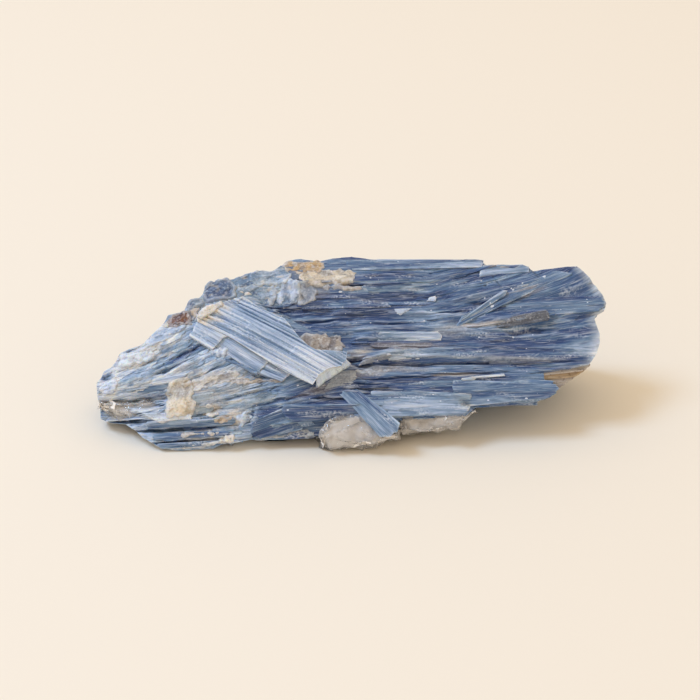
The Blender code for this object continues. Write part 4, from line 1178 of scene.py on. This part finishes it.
def kyanite_material():
    """Striated kyanite: the piece's own tint, streaked along the grain, with a painted highlight on ridges
    and frayed ends and painted shade in clefts.
    """
    paint = Finish("kyanite")
    tint, streaked = (paint.node("Attribute", attribute_name="tint").outputs[k] for k in ("Color", "Alpha"))
    grain = paint.node("Attribute", attribute_name="grain").outputs["Vector"]
    relief = paint.node("SeparateXYZ", {"Vector": grain}).outputs["Z"]
    # a gritty crust, where the streaks are weak
    grit, spots = paint.grit(2400.0, 3.0), paint.grit(900.0, 2.0)
    grainy = paint.layer(tint, grit, 0.45, 0.3, 0.0, 0.8, (0.5, 0.5, 0.52), "MULTIPLY")
    grainy = paint.layer(grainy, grit, 0.56, 0.72, 0.0, 0.5, STAINS["white"])
    grainy = paint.layer(grainy, spots, 0.6, 0.7, 0.0, 0.3, STAINS["white"])
    # broad and hair-fine streaks
    hair = paint.streaks(grain, 4.0, 0.17, 5.0, 3.1)
    broad = paint.streaks(grain, 9.0, 0.55, 3.0, 7.7)
    base = paint.layer(tint, broad, 0.32, 0.6, 0.34, 0.0, DEEP * 0.8)
    base = paint.layer(base, broad, 0.55, 0.75, 0.0, 0.3, LIGHT)
    base = paint.layer(base, hair, 0.54, 0.7, 0.0, 0.4, PALE)
    base = paint.layer(base, hair, 0.47, 0.34, 0.0, 0.42, NAVY * 0.8)
    # long threads, pale and dark
    for seed, width, share, tone in ((33.0, 0.5, 0.24, PALE), (47.0, 0.6, 0.24, NAVY * 0.6)):
        thread = paint.streaks(grain, 14.0, width, 1.0, seed)
        line = paint.maths("ABSOLUTE", paint.maths("SUBTRACT", thread, 0.5))
        base = paint.layer(base, line, 0.006, 0.016, share, 0.0, tone)
    # painted glints: small pale dots along the grain
    for seed, size, least in ((5.0, 1.5, 0.62), (9.0, 0.8, 0.72)):
        spread = paint.stretched(grain, (0.6 / size, 1 / size, 0), (seed, seed, 0))
        dots = paint.node("TexVoronoi", {"Vector": spread, "Scale": 1.0}).outputs
        chance = paint.node("SeparateColor", {"Color": dots["Color"]}).outputs["Red"]
        painted_glint = paint.maths("LESS_THAN", dots["Distance"], paint.remap(chance, least, 1.0, 0.0, 0.16))
        base = paint.mix(paint.maths("MULTIPLY", painted_glint, 0.8), base, PALE)
    # frosted patches
    frost = paint.remap(paint.streaks(grain, 0.5, 0.35, 4.0, 61.0), 0.42, 0.62)
    where = paint.remap(paint.streaks(grain, 8.0, 2.2, 3.0, 21.0), 0.56, 0.7, 0.0, 0.6)
    base = paint.mix(paint.maths("MULTIPLY", frost, where), base, PALE)
    # crust and streaks together, with a painted highlight on ridges and painted shade in clefts
    base = paint.mix(streaked, grainy, base)
    base = paint.layer(base, relief, 0.06, 0.25, 0.0, 0.3, PALE)
    base = paint.layer(base, relief, -0.06, -0.3, 0.0, 0.4, NAVY)
    height = paint.maths("ADD", hair, paint.maths("MULTIPLY", broad, 1.6))
    height = paint.maths("MULTIPLY", height, streaked)
    height = paint.maths("ADD", height, paint.maths("MULTIPLY", grit, 0.8))
    return paint.surface({
        "Base Color": base,
        "Roughness": paint.remap(hair, 0.3, 0.7, 0.3, 0.55),
        "Normal": paint.bump(height, 0.00008, 0.6),
        "IOR": 1.6,
        "Specular IOR Level": 0.3,
        "Subsurface Weight": 0.6,
        "Subsurface Radius": (0.5, 0.7, 1.0),
        "Subsurface Scale": 0.0008,
    })


def quartz_material():
    """Clear broken quartz, a little warm and cloudy with depth."""
    paint = Finish("quartz")
    absorb = paint.node("VolumeAbsorption", {"Color": (0.86, 0.78, 0.7, 1), "Density": 11.0})
    paint.fill(paint.tree.nodes["Material Output"], {"Volume": absorb.outputs[0]})
    return paint.surface({
        "Base Color": (0.99, 0.98, 0.97, 1),
        "Transmission Weight": 0.8,
        "IOR": 1.54,
        "Roughness": paint.remap(paint.grit(420.0, 4.0), 0.46, 0.62, 0.04, 0.3),
        "Normal": paint.bump(paint.grit(1500.0, 3.0), 0.00005, 0.4),
    })


def milk_material():
    """The milky depths and cracks inside the quartz."""
    paint = Finish("milky_quartz")
    cloud = paint.remap(paint.grit(260.0, 5.0), 0.4, 0.62)
    base = paint.mix(cloud, colour("e2ddd8"), colour("ffffff"))
    return paint.surface({"Base Color": base, "Roughness": 0.6})


def mica_material():
    """Brown mica: the flakes' own tint with dark and tan grit."""
    paint = Finish("mica")
    tint = paint.node("Attribute", attribute_name="tint").outputs["Color"]
    grit = paint.grit(1800.0, 3.0)
    base = paint.layer(tint, grit, 0.45, 0.3, 0.0, 0.6, STAINS["brown"] * 0.4)
    base = paint.layer(base, grit, 0.58, 0.7, 0.0, 0.4, STAINS["tan"])
    return paint.surface({"Base Color": base, "Roughness": 0.5})


# --- the studio

CAMERA_TIP = math.radians(30)
CAMERA_AIM = Vector((-0.0004, 0.0003, 0.0133))
CAMERA_FAR = 0.42
CAMERA_LENS, CAMERA_SENSOR = 108, 36
ROOM_COLOUR, ROOM_STRENGTH = (1.0, 0.825, 0.637, 1), 0.876
KEY_COLOUR, KEY_POWER, KEY_SIZE = (0.425, 0.658, 1.0), 6.9, 0.4
KEY_PLACE = Vector((-0.55, -0.06, 0.83)) * 1.2
PAPER_COLOUR, PAPER_SIZE = (0.896, 0.85, 0.752, 1), 3.0


def make_camera():
    """The viewpoint: level with the specimen's length, and above the floor."""
    camera = added("camera", bpy.data.cameras.new("camera"))
    bpy.context.scene.camera = camera
    camera.data.sensor_width = CAMERA_SENSOR
    camera.data.lens = CAMERA_LENS
    camera.location = CAMERA_AIM + CAMERA_FAR * Vector((0, -math.cos(CAMERA_TIP), math.sin(CAMERA_TIP)))
    camera.rotation_euler = (math.pi / 2 - CAMERA_TIP, 0, 0)


def make_light():
    """A warm room, and a cool lamp high on the left."""
    scene = bpy.context.scene
    scene.world = bpy.data.worlds.new("studio")
    scene.world.use_nodes = True
    room = scene.world.node_tree.nodes["Background"].inputs
    room["Color"].default_value = ROOM_COLOUR
    room["Strength"].default_value = ROOM_STRENGTH
    key = bpy.data.lights.new("key", "AREA")
    key.energy = KEY_POWER
    key.size = KEY_SIZE
    key.color = KEY_COLOUR
    lamp = added("key", key)
    lamp.location = KEY_PLACE
    lamp.rotation_euler = (-KEY_PLACE).to_track_quat("-Z", "Y").to_euler()
    scene.view_settings.view_transform = "Standard"


def make_floor():
    """A sheet of pale paper."""
    bm = bmesh.new()
    bmesh.ops.create_grid(bm, x_segments=1, y_segments=1, size=PAPER_SIZE)
    floor = added("floor", meshed("floor", bm))
    floor.data.materials.append(Finish("paper").surface({"Base Color": PAPER_COLOUR, "Roughness": 0.9}))


def ride(piece, material, slot, *replaced):
    """Finishes a piece: it rides on the specimen and takes its material. The slot is not used."""
    piece.data.materials.append(material)
    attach(piece, "root")
    if replaced:
        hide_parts(*replaced)


def level(lift):
    """The same lift everywhere."""
    return lambda x, rise: x * 0 + lift


def main():
    """Makes every piece, and then the studio."""
    kyanite = kyanite_material()
    front_lift = LiftMap(front_point, (52, 42), front_floor, front_cap)
    back_lift = LiftMap(back_point, (52, 30), level(-2.0), level(2.5))
    front = (front_point, front_grain, lambda x, rise: front_lift(x, rise) - clefts(x, rise), front_tint)
    back = (back_point, back_grain, back_lift, back_tint)
    kyanite_pieces = [
        *make_front(front),
        make_back(back),
        make_core(),
        make_bundle(),
        finished("blades", [blade(row, front_lift) for row in BLADES]),
        finished("front_splinters", [one for row in SPLINTERS for one in laths(front, front_keep, *row)]),
    ]
    for piece in kyanite_pieces:
        ride(piece, kyanite, "kyanite", "kyanite_blades")
    crusts = finished("crusts", [crust(row, front) for row in CRUSTS])
    ride(crusts, kyanite, "kyanite")
    quartz, milk = quartz_material(), milk_material()
    for name, squeeze, shift, seed in QUARTZ:
        piece = finished(name + "_clear", [broken(name, CLEAR_CELL, CLEAR_CHIPS, seed, squeeze, shift)])
        ride(piece, quartz, "quartz", name)
        inside = [broken(name, MILK_CELL, MILK_CHIPS, seed + 5, squeeze, shift, MILK_SHRINK)]
        inside += veils(name, int(seed), shift)
        ride(finished(name + "_milk", inside), milk, "quartz")
    flakes = [blade(row, level(-0.4)) for row in MICA_FLAKES]
    ride(finished("mica_flakes", flakes), mica_material(), "mica", "mica_patch")
    make_floor()
    make_light()
    make_camera()


main()
